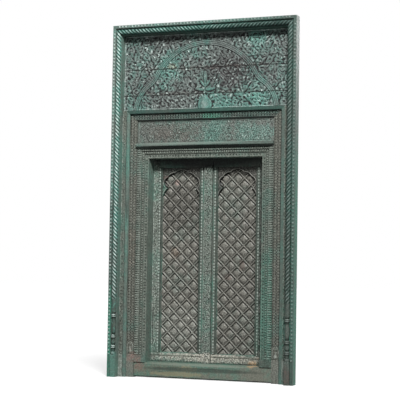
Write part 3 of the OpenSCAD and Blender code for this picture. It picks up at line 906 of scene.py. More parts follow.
@dataclass(frozen=True)
class Finish:
    """One worn finish of the door, its colours as steps of a colour chart."""

    # Name of the material, name of its slot
    name: str
    slot: str
    # Sound paint, weathered paint, rubbed high points with a painted highlight, bare wood in the chips,
    # dirt in the cuts with the painted shade that the relief tone carries
    paint: Tone
    faded: Tone
    pale: Tone
    wood: Tone = BROWN_WOOD
    grime: Tone = DULL_GREEN
    # Share of faded paint, strength of the rubbed high points and their painted highlight, share of chips
    fade: float = 0.5
    highlight: float = 0.5
    chips: float = 0.35
    # Direction of the wood grain; True where the mesh carries the carving's height
    grain: Grain = Grain.UPRIGHT
    carved: bool = False
    # Strength of the fine specks, least roughness, depth of the grain in metres
    speckle: float = 0.35
    matt: float = 0.36
    bump: float = 0.0006
    # How much the right-hand side darkens, and between which places across, metres
    dark_side: float = 0.0
    dark_span: Pair = (-0.55, 0.75)
    # Stains, painted shade and painted highlight; strength of the shine, of the grain's relief and of the
    # wood's checks
    patches: tuple[Patch, ...] = ()
    gloss: float = 0.12
    ridge: float = 0.6
    check: float = 0.55

    def make(self, shop: PaintShop) -> bpy.types.Material:
        """Builds the material from the shop's groups.

        Args:
            shop: Shared node groups.

        Returns:
            The new material.
        """
        material, graph, shader = start_material(self.name)
        place = graph.add("ShaderNodeTexCoord").outputs["Object"]
        masked = [(patch, patch.mask(graph, shop, place)) for patch in self.patches]
        sound, faded, grime, fade = linear(self.paint), linear(self.faded), linear(self.grime), self.fade
        for patch, mask in masked:
            if not patch.over:
                tone = linear(patch.tone)
                sound, faded = graph.blend(mask, sound, tone), graph.blend(mask, faded, tone)
        if self.carved:
            kept = graph.add("ShaderNodeAttribute", attribute_name="tint").outputs["Fac"]
            fade = graph.minus(self.fade, kept)
        paint = graph.group(shop.worn_paint, Place=place, Paint=sound, Faded=faded, Pale=linear(self.pale),
                            Wood=linear(self.wood), Grime=grime, Fade=fade, Highlight=self.highlight,
                            Chips=self.chips, Speckle=self.speckle, Matt=self.matt)
        if self.carved:
            relief = graph.add("ShaderNodeAttribute", attribute_name="relief").outputs["Fac"]
            graph.feed(paint.inputs["Relief"], relief)
        grain = graph.group(shop.wood_grain, Place=graph.vector("MULTIPLY", place, self.grain.value)).outputs
        colour = graph.blend(graph.times(grain["Checks"], self.check), paint.outputs["Colour"], grime)
        for patch, mask in masked:
            if patch.over:
                colour = graph.blend(mask, colour, linear(patch.tone))
        if self.dark_side > 0.0:
            across = graph.paired(graph.add("ShaderNodeSeparateXYZ"), place).outputs[0]
            shade = graph.times(graph.step(across, *self.dark_span), self.dark_side)
            colour = graph.blend(shade, colour, grime)
        height = graph.plus(paint.outputs["Height"], graph.minus(grain["Lines"], grain["Checks"]))
        graph.feed(shader.inputs["Base Color"], colour)
        graph.feed(shader.inputs["Roughness"], paint.outputs["Roughness"])
        graph.feed(shader.inputs["Specular IOR Level"], self.gloss)
        graph.feed(shader.inputs["Normal"], graph.bump(height, self.ridge, self.bump))
        return material


@dataclass(frozen=True)
class IronFinish:
    """Rusted iron of the nail heads, its colours as steps of a colour chart."""

    name: str
    slot: str
    metal: Tone
    rust: Tone
    # Noise cells of rust and pits to the metre, depth of the pits in metres
    rusting: float = 180.0
    pitting: float = 420.0
    pit: float = 0.0005

    def make(self, _: PaintShop) -> bpy.types.Material:
        """Builds the material: rust in noise patches over dark metal.

        Args:
            _: Shared node groups, which the iron does without.

        Returns:
            The new material.
        """
        material, graph, shader = start_material(self.name)
        place = graph.add("ShaderNodeTexCoord").outputs["Object"]
        rusted = graph.step(graph.noise(place, self.rusting, 4.0, 0.65), 0.38, 0.62)
        pits = graph.noise(place, self.pitting, 3.0)
        graph.feed(shader.inputs["Base Color"], graph.blend(rusted, linear(self.metal), linear(self.rust)))
        graph.feed(shader.inputs["Metallic"], graph.minus(0.85, graph.times(rusted, 0.75)))
        graph.feed(shader.inputs["Roughness"], graph.plus(0.45, graph.times(rusted, 0.4)))
        graph.feed(shader.inputs["Normal"], graph.bump(pits, 0.5, self.pit))
        return material


# Patches that several finishes share: the lintel's painted shadow over the leaves' tops, and a pink undercoat
# patch low on the left
LINTEL_SHADE = Patch((0.0, 0.07, 1.88), (0.75, 0.4, 0.13), LINTEL_SHADOW, amount=1.0, ragged=0.12, over=True)
PINK_FOOT = Patch((-0.63, -0.05, 0.17), (0.05, 0.2, 0.07), PINK_UNDERCOAT, amount=0.4)

FINISHES: tuple[Finish | IronFinish, ...] = (
    Finish("teal_paint", "teal_paint", paint=(90, 126, 115), faded=(98, 110, 103), pale=(150, 172, 164),
        wood=GREY_WOOD, fade=0.55, highlight=0.5, chips=0.32, dark_side=0.42, patches=(
            Patch((0.785, -0.14, 0.06), (0.05, 0.2, 0.09), PINK_UNDERCOAT, 0.5),
            Patch((0.0, -0.1, 0.75), (0.9, 0.4, 0.62), (92, 96, 89), 0.45, 0.9),
            Patch((-0.80, -0.14, 0.08), (0.10, 0.2, 0.13), (92, 136, 121)),
            Patch((0.82, -0.1, 0.8), (0.05, 0.4, 1.4), (62, 150, 124), ragged=0.4))),
    Finish("rail_paint", "teal_paint", paint=(56, 81, 74), faded=(65, 75, 70), pale=(120, 146, 138),
        wood=GREY_WOOD, fade=0.45, highlight=0.4, chips=0.30, grain=Grain.LEVEL, dark_side=0.15, patches=(
            Patch((-0.80, -0.14, 2.99), (0.04, 0.2, 0.03), PINK_UNDERCOAT, 0.8),
            Patch((0.26, -0.14, 2.985), (0.05, 0.2, 0.03), BROWN_WOOD))),
    Finish("cornice_paint", "teal_paint", paint=(90, 113, 105), faded=(97, 106, 100), pale=(160, 178, 170),
        wood=GREY_WOOD, fade=0.55, highlight=0.5, chips=0.32, grain=Grain.LEVEL, dark_side=0.30, patches=(
            # Painted shade on the lower face of the lower cornice, and a painted highlight along its top
            Patch((0.0, -0.05, 1.948), (0.75, 0.3, 0.020), UNDERSIDE_SHADE, 0.85, 0.2, over=True),
            Patch((-0.1, -0.05, 1.978), (0.60, 0.3, 0.010), (140, 156, 146), 0.45, 0.3, over=True))),
    Finish("teal_beads", "teal_paint", paint=(102, 140, 130), faded=(108, 119, 113), pale=(184, 200, 194),
        wood=GREY_WOOD, fade=0.55, highlight=0.8, chips=0.32, carved=True, dark_side=0.60, patches=(
            Patch((-0.81, -0.14, 0.85), (0.1, 0.3, 0.95), (70, 77, 73), 1.0, 0.7),
            Patch((-0.81, -0.14, 0.34), (0.1, 0.3, 0.50), (62, 134, 112), 0.85, 0.4),
            Patch((0.81, -0.14, 0.75), (0.1, 0.3, 0.95), (76, 130, 114), 0.5),
            Patch((-0.40, -0.14, 2.985), (0.55, 0.3, 0.04), (80, 100, 93), 0.6))),
    Finish("rope_paint", "rope_paint", paint=(88, 140, 129), faded=(96, 116, 108), pale=(206, 222, 216),
        wood=GREY_WOOD, grime=(36, 46, 41), fade=0.45, highlight=1.0, chips=0.25, carved=True,
        dark_side=0.76, patches=(
            Patch((-0.772, -0.14, 0.09), (0.05, 0.2, 0.12), (86, 128, 114), 0.75),
            Patch((0.0, -0.14, 0.46), (1.6, 0.6, 0.36), (66, 69, 63), 1.0, 0.3),
            Patch((0.0, -0.14, 0.95), (1.4, 0.5, 0.50), (84, 91, 86), 0.85, 0.8),
            Patch((0.772, -0.14, 0.28), (0.12, 0.4, 0.44), (176, 182, 174), 0.8, 0.5),
            Patch((0.772, -0.14, 0.07), (0.05, 0.2, 0.09), PINK_UNDERCOAT, 0.6))),
    Finish("top_rope_paint", "rope_paint", paint=(50, 97, 86), faded=(61, 84, 77), pale=(166, 196, 188),
        wood=GREY_WOOD, grime=(16, 20, 18), fade=0.40, highlight=0.85, chips=0.22, grain=Grain.LEVEL,
        carved=True, dark_side=0.78),
    Finish("worn_carving", "worn_carving", paint=(91, 115, 105), faded=(100, 105, 97), pale=(180, 192, 184),
        grime=(32, 40, 35), fade=0.68, highlight=0.6, chips=0.38, carved=True, speckle=0.6, matt=0.24,
        dark_side=0.24, patches=(
            Patch((0.60, -0.05, 0.55), (0.16, 0.3, 0.55), (72, 124, 108), ragged=0.8),
            PINK_FOOT)),
    Finish("flower_paint", "worn_carving", paint=(94, 114, 105), faded=(104, 106, 98), pale=(188, 196, 188),
        grime=(35, 36, 33), fade=0.72, highlight=0.6, chips=0.42, carved=True, speckle=0.6, matt=0.24,
        dark_side=0.14, patches=(
            PINK_FOOT,
            Patch((-0.68, -0.05, 1.10), (0.10, 0.2, 0.22), (110, 100, 89), 0.4, 0.9))),
    Finish("head_paint", "worn_carving", paint=(78, 102, 94), faded=(92, 97, 91), pale=(176, 190, 182),
        grime=(20, 24, 22), fade=0.60, highlight=0.6, chips=0.36, grain=Grain.LEVEL, carved=True,
        speckle=0.6, patches=(
            Patch((0.06, -0.06, 2.205), (0.12, 0.2, 0.03), (74, 140, 116)),)),
    Finish("foliage_paint", "worn_carving", paint=(88, 127, 118), faded=(92, 99, 96), pale=(204, 220, 214),
        grime=(38, 37, 37), fade=0.64, highlight=1.0, chips=0.36, grain=Grain.LEVEL, carved=True,
        speckle=0.5, dark_side=0.14, patches=(
            Patch((0.25, -0.06, 2.57), (0.30, 0.2, 0.17), (60, 55, 56), 0.85, 0.8),
            Patch((-0.45, -0.06, 2.84), (0.20, 0.2, 0.06), (66, 64, 63), 0.6, 0.9),
            Patch((0.0, -0.06, 2.405), (0.85, 0.2, 0.02), (92, 76, 70), 0.25, 1.2),
            Patch((-0.1, -0.06, 2.62), (0.75, 0.2, 0.018), (96, 76, 70), 0.25, 1.2),
            Patch((-0.30, -0.06, 2.64), (0.05, 0.2, 0.03), (170, 148, 124), 0.35, 1.0),
            Patch((0.40, -0.06, 2.84), (0.03, 0.2, 0.03), (108, 166, 150), 0.5, 0.9),
            Patch((0.48, -0.06, 2.35), (0.08, 0.2, 0.05), (118, 172, 158), 0.35, 1.0),
            Patch((-0.02, -0.06, 2.50), (0.07, 0.2, 0.10), (112, 164, 150), 0.2, 1.0),
            Patch((-0.31, -0.06, 2.56), (0.09, 0.2, 0.05), (114, 166, 154), 0.25, 1.0),
            Patch((-0.33, -0.06, 2.45), (0.06, 0.2, 0.025), (112, 166, 152), 0.25, 1.0))),
    Finish("frieze_paint", "worn_carving", paint=(88, 117, 108), faded=(97, 101, 96), pale=(190, 206, 198),
        grime=(34, 36, 34), fade=0.66, highlight=0.9, chips=0.38, grain=Grain.LEVEL, carved=True,
        speckle=0.7, patches=(
            Patch((-0.28, -0.06, 2.08), (0.26, 0.2, 0.10), (92, 84, 78), 0.6, 0.9),
            Patch((0.45, -0.06, 2.04), (0.22, 0.2, 0.10), (98, 136, 126), 0.5, 0.9))),
    Finish("plain_carving", "worn_carving", paint=(92, 118, 108), faded=(96, 106, 98), pale=(150, 164, 155),
        fade=0.66, highlight=0.5, chips=0.36, speckle=0.5, dark_side=0.16, patches=(
            Patch((0.60, -0.05, 0.55), (0.16, 0.3, 0.55), (66, 112, 98), 0.6, 0.8),
            Patch((-0.60, -0.05, 0.15), (0.06, 0.2, 0.08), PINK_UNDERCOAT, 0.4),
            Patch((0.56, -0.05, 0.15), (0.07, 0.2, 0.06), (70, 71, 66), 0.6))),
    Finish("sill_paint", "sill_paint", paint=(90, 120, 107), faded=(108, 110, 100), pale=(140, 156, 144),
        wood=GREY_WOOD, fade=0.45, highlight=0.4, chips=0.42, grain=Grain.LEVEL, patches=(
            Patch((-0.30, -0.05, 0.07), (0.34, 0.3, 0.09), (108, 101, 90), 0.65, 0.9),
            Patch((-0.12, -0.05, 0.09), (0.10, 0.3, 0.03), (158, 150, 123), 0.5, 0.8),
            Patch((0.43, 0.0, 0.13), (0.05, 0.08, 0.02), TAN_WOOD, 0.8, 0.4),
            Patch((-0.57, -0.05, 0.10), (0.06, 0.3, 0.06), PINK_UNDERCOAT, 0.4, 0.8),
            # Painted shadow across the sill's face, and a painted highlight along its top edge
            Patch((0.0, -0.05, 0.082), (0.62, 0.06, 0.022), (58, 66, 60), 0.75, 0.35, over=True),
            Patch((-0.05, -0.05, 0.122), (0.56, 0.06, 0.012), (140, 150, 138), 0.6, 0.4, over=True),
            Patch((-0.22, -0.05, 0.040), (0.30, 0.06, 0.022), (146, 140, 112), 0.55, 0.7, over=True))),
    Finish("leaf_carving", "leaf_carving", paint=(104, 127, 116), faded=(111, 118, 110),
        pale=(196, 206, 198), grime=(30, 37, 33), fade=0.70, highlight=0.85, chips=0.34, carved=True,
        speckle=0.8, matt=0.24, dark_side=0.34, patches=(
            LINTEL_SHADE,
            Patch((0.41, 0.07, 0.148), (0.05, 0.2, 0.03), TAN_WOOD, 0.9, 0.4),
            Patch((0.02, 0.07, 0.18), (0.56, 0.2, 0.05), (196, 190, 178), 0.8, 0.7),
            Patch((0.49, 0.07, 1.00), (0.06, 0.2, 0.85), (96, 96, 91)))),
    Finish("leaf_paint", "leaf_carving", paint=(94, 128, 115), faded=(104, 110, 103), pale=(150, 164, 155),
        fade=0.60, highlight=0.5, chips=0.36, dark_side=0.25, patches=(
            LINTEL_SHADE,)),
    Finish("pearl_paint", "leaf_carving", paint=(112, 138, 126), faded=(120, 126, 118),
        pale=(180, 192, 184), fade=0.70, highlight=0.9, chips=0.38, carved=True, dark_side=0.22, patches=(
            LINTEL_SHADE,)),
    Finish("spandrel_wood", "lattice_wood", paint=(64, 72, 67), faded=(67, 67, 63), pale=(146, 146, 139),
        grime=(22, 22, 20), fade=0.72, highlight=0.7, chips=0.40, carved=True, patches=(
            Patch((-0.43, 0.07, 1.60), (0.06, 0.2, 0.07), (104, 146, 130), 0.8, 0.4),
            Patch((-0.38, 0.07, 1.70), (0.05, 0.2, 0.02), RED_DUST, 0.5))),
    Finish("lattice_wood", "lattice_wood", paint=(113, 121, 113), faded=(120, 119, 112),
        pale=(190, 190, 182), grime=(34, 34, 31), fade=0.80, highlight=0.9, chips=0.38, carved=True,
        speckle=0.7, matt=0.24, dark_side=0.22, patches=(
            Patch((-0.31, 0.07, 1.06), (0.05, 0.2, 0.06), (108, 87, 71), 0.5),
            Patch((0.30, 0.07, 0.96), (0.035, 0.2, 0.06), RED_DUST, 0.5),
            Patch((0.17, 0.07, 0.86), (0.05, 0.2, 0.03), RED_DUST, 0.4),
            Patch((-0.30, 0.07, 1.66), (0.03, 0.2, 0.03), PINK_UNDERCOAT, 0.4),
            Patch((-0.25, 0.07, 1.44), (0.30, 0.2, 0.26), (70, 69, 65), 0.6, 0.7),
            Patch((-0.25, 0.07, 0.42), (0.30, 0.2, 0.24), (146, 149, 141), 0.5, 0.7))),
    Finish("bare_wood", "bare_wood", paint=(120, 106, 90), faded=(128, 118, 104), pale=(150, 138, 122),
        grime=BARE_CUT, highlight=0.3, chips=0.5, bump=0.0012),
    Finish("bare_planks", "bare_wood", paint=(116, 102, 88), faded=(126, 116, 102), pale=(150, 138, 122),
        grime=BARE_CUT, highlight=0.3, chips=0.5, grain=Grain.LEVEL, bump=0.0012),
    IronFinish("nail_iron", "nail_iron", metal=(52, 48, 46), rust=(98, 66, 48)),
)


class Dresser:
    """Gives pieces their materials and bodies."""

    def __init__(self) -> None:
        """Makes every finish once."""
        shop = PaintShop()
        self.finishes = {finish.name: finish for finish in FINISHES}
        self.materials = {finish.name: finish.make(shop) for finish in FINISHES}

    def piece(self, name: str, finish: str, body: str, boards: list[Carving], *replaced: str,
              crease: float = CREASE) -> None:
        """Builds a piece from carved boards, dresses it and fixes it to a body.

        Args:
            name: Name of the piece.
            finish: Name of its finish.
            body: CAD body that it rides on.
            boards: Its carved boards.
            replaced: CAD nodes that it stands for.
            crease: Angle in degrees past which an edge is shaded hard.
        """
        piece = build_mesh(name, boards, crease)
        piece.data.materials.append(self.materials[finish])
        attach(piece, body)
        if replaced:
            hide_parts(*replaced)
        LOG.info("%s: %d points on %s", name, len(piece.data.vertices), body)

    def nodes(self, finish: str, *names: str) -> None:
        """Gives CAD nodes a finish.

        Args:
            finish: Name of the finish.
            names: CAD nodes.
        """
        for name in names:
            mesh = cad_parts[name].data
            mesh.materials.clear()
            mesh.materials.append(self.materials[finish])
        LOG.info("%s on %s", finish, ", ".join(names))


# Sub-assemblies

@dataclass
class RopeFrame:
    """Outer frame: rope columns on turned feet, top rope, beaded edge strips, boards. Sizes in mm."""

    dresser: Dresser
    # Strands: distance along the rope, slope in degrees, depth of the grooves, depth of its seat in the board
    pitch: float = 32.0
    slope: float = 42.0
    cut: float = 6.0
    seat: float = 2.0
    # Plinth: height, depth behind the rope's front, radius of the edges, height of the cap over it
    plinth: float = 190.0
    plinth_set: float = 2.0
    plinth_round: float = 3.0
    cap: float = 25.0
    # Turned foot: depth of its bodies below the rope, heights and thickness of the double rings, distances
    # from their edges over which the painted shadow round each double ring runs out, ends of the plain neck
    belly_set: float = 2.0
    rings: Place = (257.0, 344.0, 518.0)
    ring: float = 14.0
    shadow_collar: Pair = (4.0, 22.0)
    neck: Pair = (540.0, 660.0)
    # Beads: distance, radius and height, half width of the lines beside them
    bead_pitch: float = 30.0
    bead: float = 9.5
    bead_rise: float = 5.0
    line: float = 1.6
    # Mesh points round half a rope, on a plinth and across a beaded strip, and their distances lengthwise
    round_points: int = 21
    plinth_points: tuple[int, int] = (12, 24)
    bead_points: int = 10
    foot_grid: float = 2.8
    rope_grid: float = 3.3
    bead_grid: float = 3.2

    @property
    def turn(self) -> Array:
        """Angles of the mesh points round half a rope, radians."""
        return np.radians(np.linspace(-90.0, 90.0, self.round_points))

    def rope(self, along: Array, angle: Array, radius: float, hand: int) -> tuple[Array, Array]:
        """Rope surface: each strand is a hump across the lines along - tan(slope) arc = constant.

        Args:
            along: Place along the rope.
            angle: Angle round the rope from its front, radians.
            radius: Radius of the rope.
            hand: 1 or -1, the way in which the strands wind.

        Returns:
            Radii, and tones from 0 to 1: pale on the strands' crowns as a painted highlight, falling off to
                painted shade towards the grooves and the rope's edges.
        """
        arc = hand * radius * angle
        part = saw((along - math.tan(math.radians(self.slope)) * arc) / self.pitch)
        # Painted highlight on each strand's crown, painted shade in the grooves and towards the rope's flanks
        tone = np.clip(1.1 - 1.4 * np.abs(2.0 * part) ** 1.5, 0.0, 1.0)
        return radius - self.cut * (1.0 - hump(part, 0.505)), tone * (0.25 + 0.75 * np.cos(angle))

    def turned(self, z: Array, radius: float) -> Array:
        """Radius of the turned foot: cap, three swelling bodies of sine outline, and half-round double rings.

        Args:
            z: Heights.
            radius: Radius of the rope.

        Returns:
            Radii.
        """
        half = self.ring / 2.0
        waist, belly = radius - half, radius - self.belly_set
        marks = (self.plinth + self.cap, *self.rings, self.neck[0])
        shape = np.full_like(z, belly)
        for low, high in zip(marks[:-1], marks[1:]):
            swell = waist + (belly - waist) * np.sin(math.pi * np.clip((z - low) / (high - low), 0.0, 1.0))
            shape = np.where((z >= low) & (z < high), np.where(high < self.neck[0], swell, waist), shape)
        for middle in self.rings:
            for offset in (-half, half):
                away = (z - middle - offset) / half
                shape = np.where(np.abs(away) < 1.0, waist + half * hump(away, 1.0), shape)
        bow = hump(z - self.plinth - self.cap / 2.0, self.cap / 2.0 + 1.0)
        rounded = radius - self.plinth_round * (1.0 - bow)
        return np.where(z < self.plinth + self.cap, rounded, shape)

    def foot_tone(self, z: Array, rise: Array) -> Array:
        """Tone of the turned foot: pale on what stands out as a painted highlight, and a painted shadow round
        each double ring.

        Args:
            z: Heights.
            rise: Radius less the rope's radius.

        Returns:
            Numbers from 0 to 1.
        """
        half = self.ring / 2.0
        away = np.min(np.abs(z[..., None] - np.array(self.rings)), axis=-1)
        shadow_collar = 0.75 * ease(self.ring + self.shadow_collar[0], self.ring + self.shadow_collar[1], away)
        return (rise + half) / half * np.where(away < self.ring, 1.0, shadow_collar)

    def plinth_board(self, box: Box) -> Carving:
        """Plinth with rounded edges under a rope column.

        Args:
            box: Extent of the column.

        Returns:
            The carved board.
        """
        x, z = lay_grid(box.left, box.right, 0.0, self.plinth, *self.plinth_points)
        edge = np.minimum.reduce([x - box.left, box.right - x, self.plinth - z])
        bow = hump(np.clip(self.plinth_round - edge, 0.0, self.plinth_round), self.plinth_round + 0.01)
        y = box.front + self.plinth_set + self.plinth_round * (1.0 - bow)
        return Carving(x, z, y, box.back + self.seat, np.full_like(x, 0.5))

    def column(self, side: Side) -> None:
        """Rope column: a half-round surface x = c + r sin a, y = face - r cos a; r follows foot and strands.

        Args:
            side: Which column.
        """
        name = f"{side.word}_rope_column"
        box, post, rail = box_of(name), box_of(f"{side.word}_post_board"), box_of("top_rail_board")
        turn, radius = self.turn, box.width / 2.0
        reach = np.abs(box.middle + radius * np.sin(turn)) - post.near
        ends = rail.foot + reach * rail.height / (post.far - post.near)
        boards = []
        lengths = ((self.plinth, self.neck[1], self.foot_grid), (self.neck[1], ends, self.rope_grid))
        for foot, top, size in lengths:
            rows = steps(float(np.max(top)) - foot, size)
            angle, z = lay_grid(turn[0], turn[-1], foot, top, len(turn), rows)
            if foot < self.neck[0]:
                r = self.turned(z, radius)
                # Painted shade: the foot's tone also darkens towards its sides
                relief = self.foot_tone(z, r - radius) * (0.3 + 0.7 * np.cos(angle))
            else:
                r, relief = self.rope(z, angle, radius, side.value)
            x, y = box.middle + r * np.sin(angle), box.back - r * np.cos(angle)
            boards.append(Carving(x, z, y, box.back + self.seat, relief))
        boards.append(self.plinth_board(box))
        self.dresser.piece(f"{side.word}_rope_carving", "rope_paint", "frame", boards, name)

    def top_rope(self) -> None:
        """Top rope: the column's surface laid level, with strands that lean outwards from the middle."""
        box, rail, post = box_of("top_rope_moulding"), box_of("top_rail_board"), box_of("right_post_board")
        turn, radius = self.turn, box.height / 2.0
        up = box.level + radius * np.sin(turn) - rail.foot
        end = post.near + up * (rail.right - post.near) / rail.height
        columns = steps(2.0 * float(np.mean(end)), self.rope_grid)
        x, angle = lay_grid(-end, end, turn[0], turn[-1], columns, len(turn))
        r, relief = self.rope(np.abs(x), angle, radius, 1)
        z, y = box.level + r * np.sin(angle), box.back - r * np.cos(angle)
        board = Carving(x, z, y, box.back + self.seat, relief)
        self.dresser.piece("top_rope_carving", "top_rope_paint", "frame", [board], "top_rope_moulding")

    def edge_strip(self, node: str) -> None:
        """Beaded strip: half-round beads in a row between two fine edge lines, mitred at the corners.

        Args:
            node: CAD strip that it stands for.
        """
        box = box_of(node)
        level = node.startswith("top")
        width = box.height if level else box.width
        u = np.linspace(0.0, 1.0, self.bead_points)
        if level:
            end = box.right - width * (1.0 - u)
            x, z = lay_grid(-end, end, box.foot, box.top, steps(2.0 * box.right, self.bead_grid), len(u))
            along, across = np.abs(x), z - box.level
            room = box.right - 2.0 * width - along
        else:
            end = box.top - width * (u if box.left < 0.0 else 1.0 - u)
            x, z = lay_grid(box.left, box.right, 0.0, end, len(u), steps(box.top, self.bead_grid))
            along, across = z, x - box.middle
            room = np.minimum(z - self.plinth, box.top - 2.0 * width - z)
        row = beads(across, along, self.bead, self.bead_pitch) * (room > 0.0)
        shape = np.maximum(row, 0.35 * edge_lines(across, width / 2.0, self.line))
        board = Carving(x, z, box.front + self.bead_rise * (1.0 - shape), box.back, 0.3 + 0.7 * shape)
        self.dresser.piece(node.replace("bead_strip", "bead_carving"), "teal_beads", "frame", [board], node)

    def build(self) -> None:
        """Builds and dresses the outer frame."""
        for side in Side:
            self.column(side)
        self.top_rope()
        for node in ("left_bead_strip", "right_bead_strip", "top_bead_strip"):
            self.edge_strip(node)
        self.dresser.nodes("teal_paint", "left_post_board", "right_post_board")
        self.dresser.nodes("rail_paint", "top_rail_board")


@dataclass
class CarvedBands:
    """Middle frame: outer foliage bands, flower bands on uprights and head beam, fillets. Sizes in mm."""

    dresser: Dresser
    # Depth of the carving, the outer bands' foliage, height up to which the bands are plain
    cut: float = 6.5
    leaves: FoliageBand = FoliageBand(pitch=34.0, salt=31.0, line=2.6, margin=4.6, edge=1.0)
    plain: float = 190.0
    # Flowers: distance, width of their edges, radius of the dots between, half width of the edge lines
    flower_pitch: float = 24.0
    flower_edge: float = 4.0
    dot: float = 4.5
    line: float = 2.4
    # Niches: height of their points, distance from the edges, gaps below and above them
    niche_top: float = 300.0
    niche_edge: float = 5.0
    niche_gap: Pair = (6.0, 4.0)
    # Height of the cleared ground above and below the head beam's flowers
    head_margin: float = 9.0
    # Distances of mesh points along the bands, across the outer bands and across the flower bands
    grid: float = 3.3
    leaf_grid: float = 2.9
    flower_grid: float = 3.1

    def outer_band(self, side: Side) -> None:
        """Outer band: small foliage between two edge lines, plain at its foot.

        Args:
            side: Which band.
        """
        name = f"{side.word}_outer_band"
        box = box_of(name)
        columns, rows = steps(box.width, self.leaf_grid), steps(box.top, self.grid)
        x, z = lay_grid(box.left, box.right, box.foot, box.top, columns, rows)
        shape = self.leaves.shape((x - box.middle) * side.value, z, box.width / 2.0)
        shape = np.where(z < self.plain, 0.8, shape)
        board = Carving(x, z, box.front + self.cut * (1.0 - shape), box.back, 0.08 + 0.92 * shape)
        self.dresser.piece(f"{side.word}_foliage_band", "worn_carving", "frame", [board], name)

    def flowers(self, across: Array, along: Array, half: float) -> Array:
        """Two rows of flowers, some rubbed lower, with a dot between each four, inside edge lines.

        Args:
            across: Offset from the band's middle line.
            along: Place along the band.
            half: Half width of the band.

        Returns:
            Heights from 0 to 1.
        """
        pitch, centre = self.flower_pitch, (half - self.flower_edge) / 2.0
        radius = min(centre, pitch / 2.0) * 1.05
        flower = rosette(np.abs(across) - centre, saw(along / pitch) * pitch, radius, 8)
        flower = flower * (0.6 + 0.4 * chance(np.floor(along / pitch), np.sign(across), 9.0))
        dot = hump(np.hypot(across, saw(along / pitch + 0.5) * pitch), self.dot)
        return np.maximum.reduce([flower, 0.9 * dot, 0.9 * edge_lines(across, half, self.line)])

    def inner_band(self, side: Side) -> None:
        """Flower band on the upright's face, with a pot niche at its foot, mitred at its head.

        Args:
            side: Which upright.
        """
        upright = box_of(f"{side.word}_upright")
        inner, outer = upright.near, box_of(f"{side.word}_fillet").near
        foot, top = box_of("frieze_panel").top, box_of("cornice").foot
        width, columns = outer - inner, steps(outer - inner, self.flower_grid)
        ends = foot + (np.linspace(inner, outer, columns) - inner) * (top - foot) / width
        x, z = lay_grid(*side.span(inner, outer), 0.0, side.ordered(ends), columns, steps(foot, self.grid))
        across = np.abs(x) - (inner + outer) / 2.0
        pot = niche(across, z, width / 2.0 - self.niche_edge, self.plain + self.niche_gap[0], self.niche_top)
        in_niche = z < self.niche_top + self.niche_gap[1]
        shape = np.where(in_niche, pot, self.flowers(across, z, width / 2.0))
        shape = np.where(z < self.plain, 0.55, shape)
        ground = np.where(in_niche, 0.25, 0.08)
        relief = ground + (0.98 - ground) * shape
        board = Carving(x, z, upright.front - PROUD - self.cut * shape, upright.front + SUNK, relief)
        self.dresser.piece(f"{side.word}_flower_band", "flower_paint", "frame", [board])

    def head_band(self) -> None:
        """Flower band on the head beam's face, mitred at both ends."""
        front, frieze = box_of("head_beam").front, box_of("frieze_panel")
        foot, top = frieze.top, box_of("cornice").foot
        inner, outer = frieze.right, box_of("right_fillet").near
        rows = steps(top - foot, self.flower_grid)
        end = inner + np.linspace(0.0, 1.0, rows) * (outer - inner)
        x, z = lay_grid(-end, end, foot, top, steps(2.0 * inner, self.grid), rows)
        half = (top - foot) / 2.0 - self.head_margin
        across = z - (foot + top) / 2.0
        shape = self.flowers(across, x, half) * (np.abs(across) < half)
        board = Carving(x, z, front - PROUD - self.cut * shape, front + SUNK, 0.02 + 0.9 * shape)
        self.dresser.piece("head_flower_band", "head_paint", "frame", [board])

    def build(self) -> None:
        """Builds and dresses the middle frame."""
        for side in Side:
            self.outer_band(side)
            self.inner_band(side)
        self.head_band()
        self.dresser.nodes("teal_paint", "left_fillet", "right_fillet")
        self.dresser.nodes("rail_paint", "cornice")
        self.dresser.nodes("cornice_paint", "lower_cornice")
        self.dresser.nodes("plain_carving", "left_upright", "right_upright", "head_beam")


class StripPlace(NamedTuple):
    """Where a strip lies on the jamb, mm: distance from the opening, width, ground depth and rise."""

    start: float
    width: float
    depth: float
    rise: float


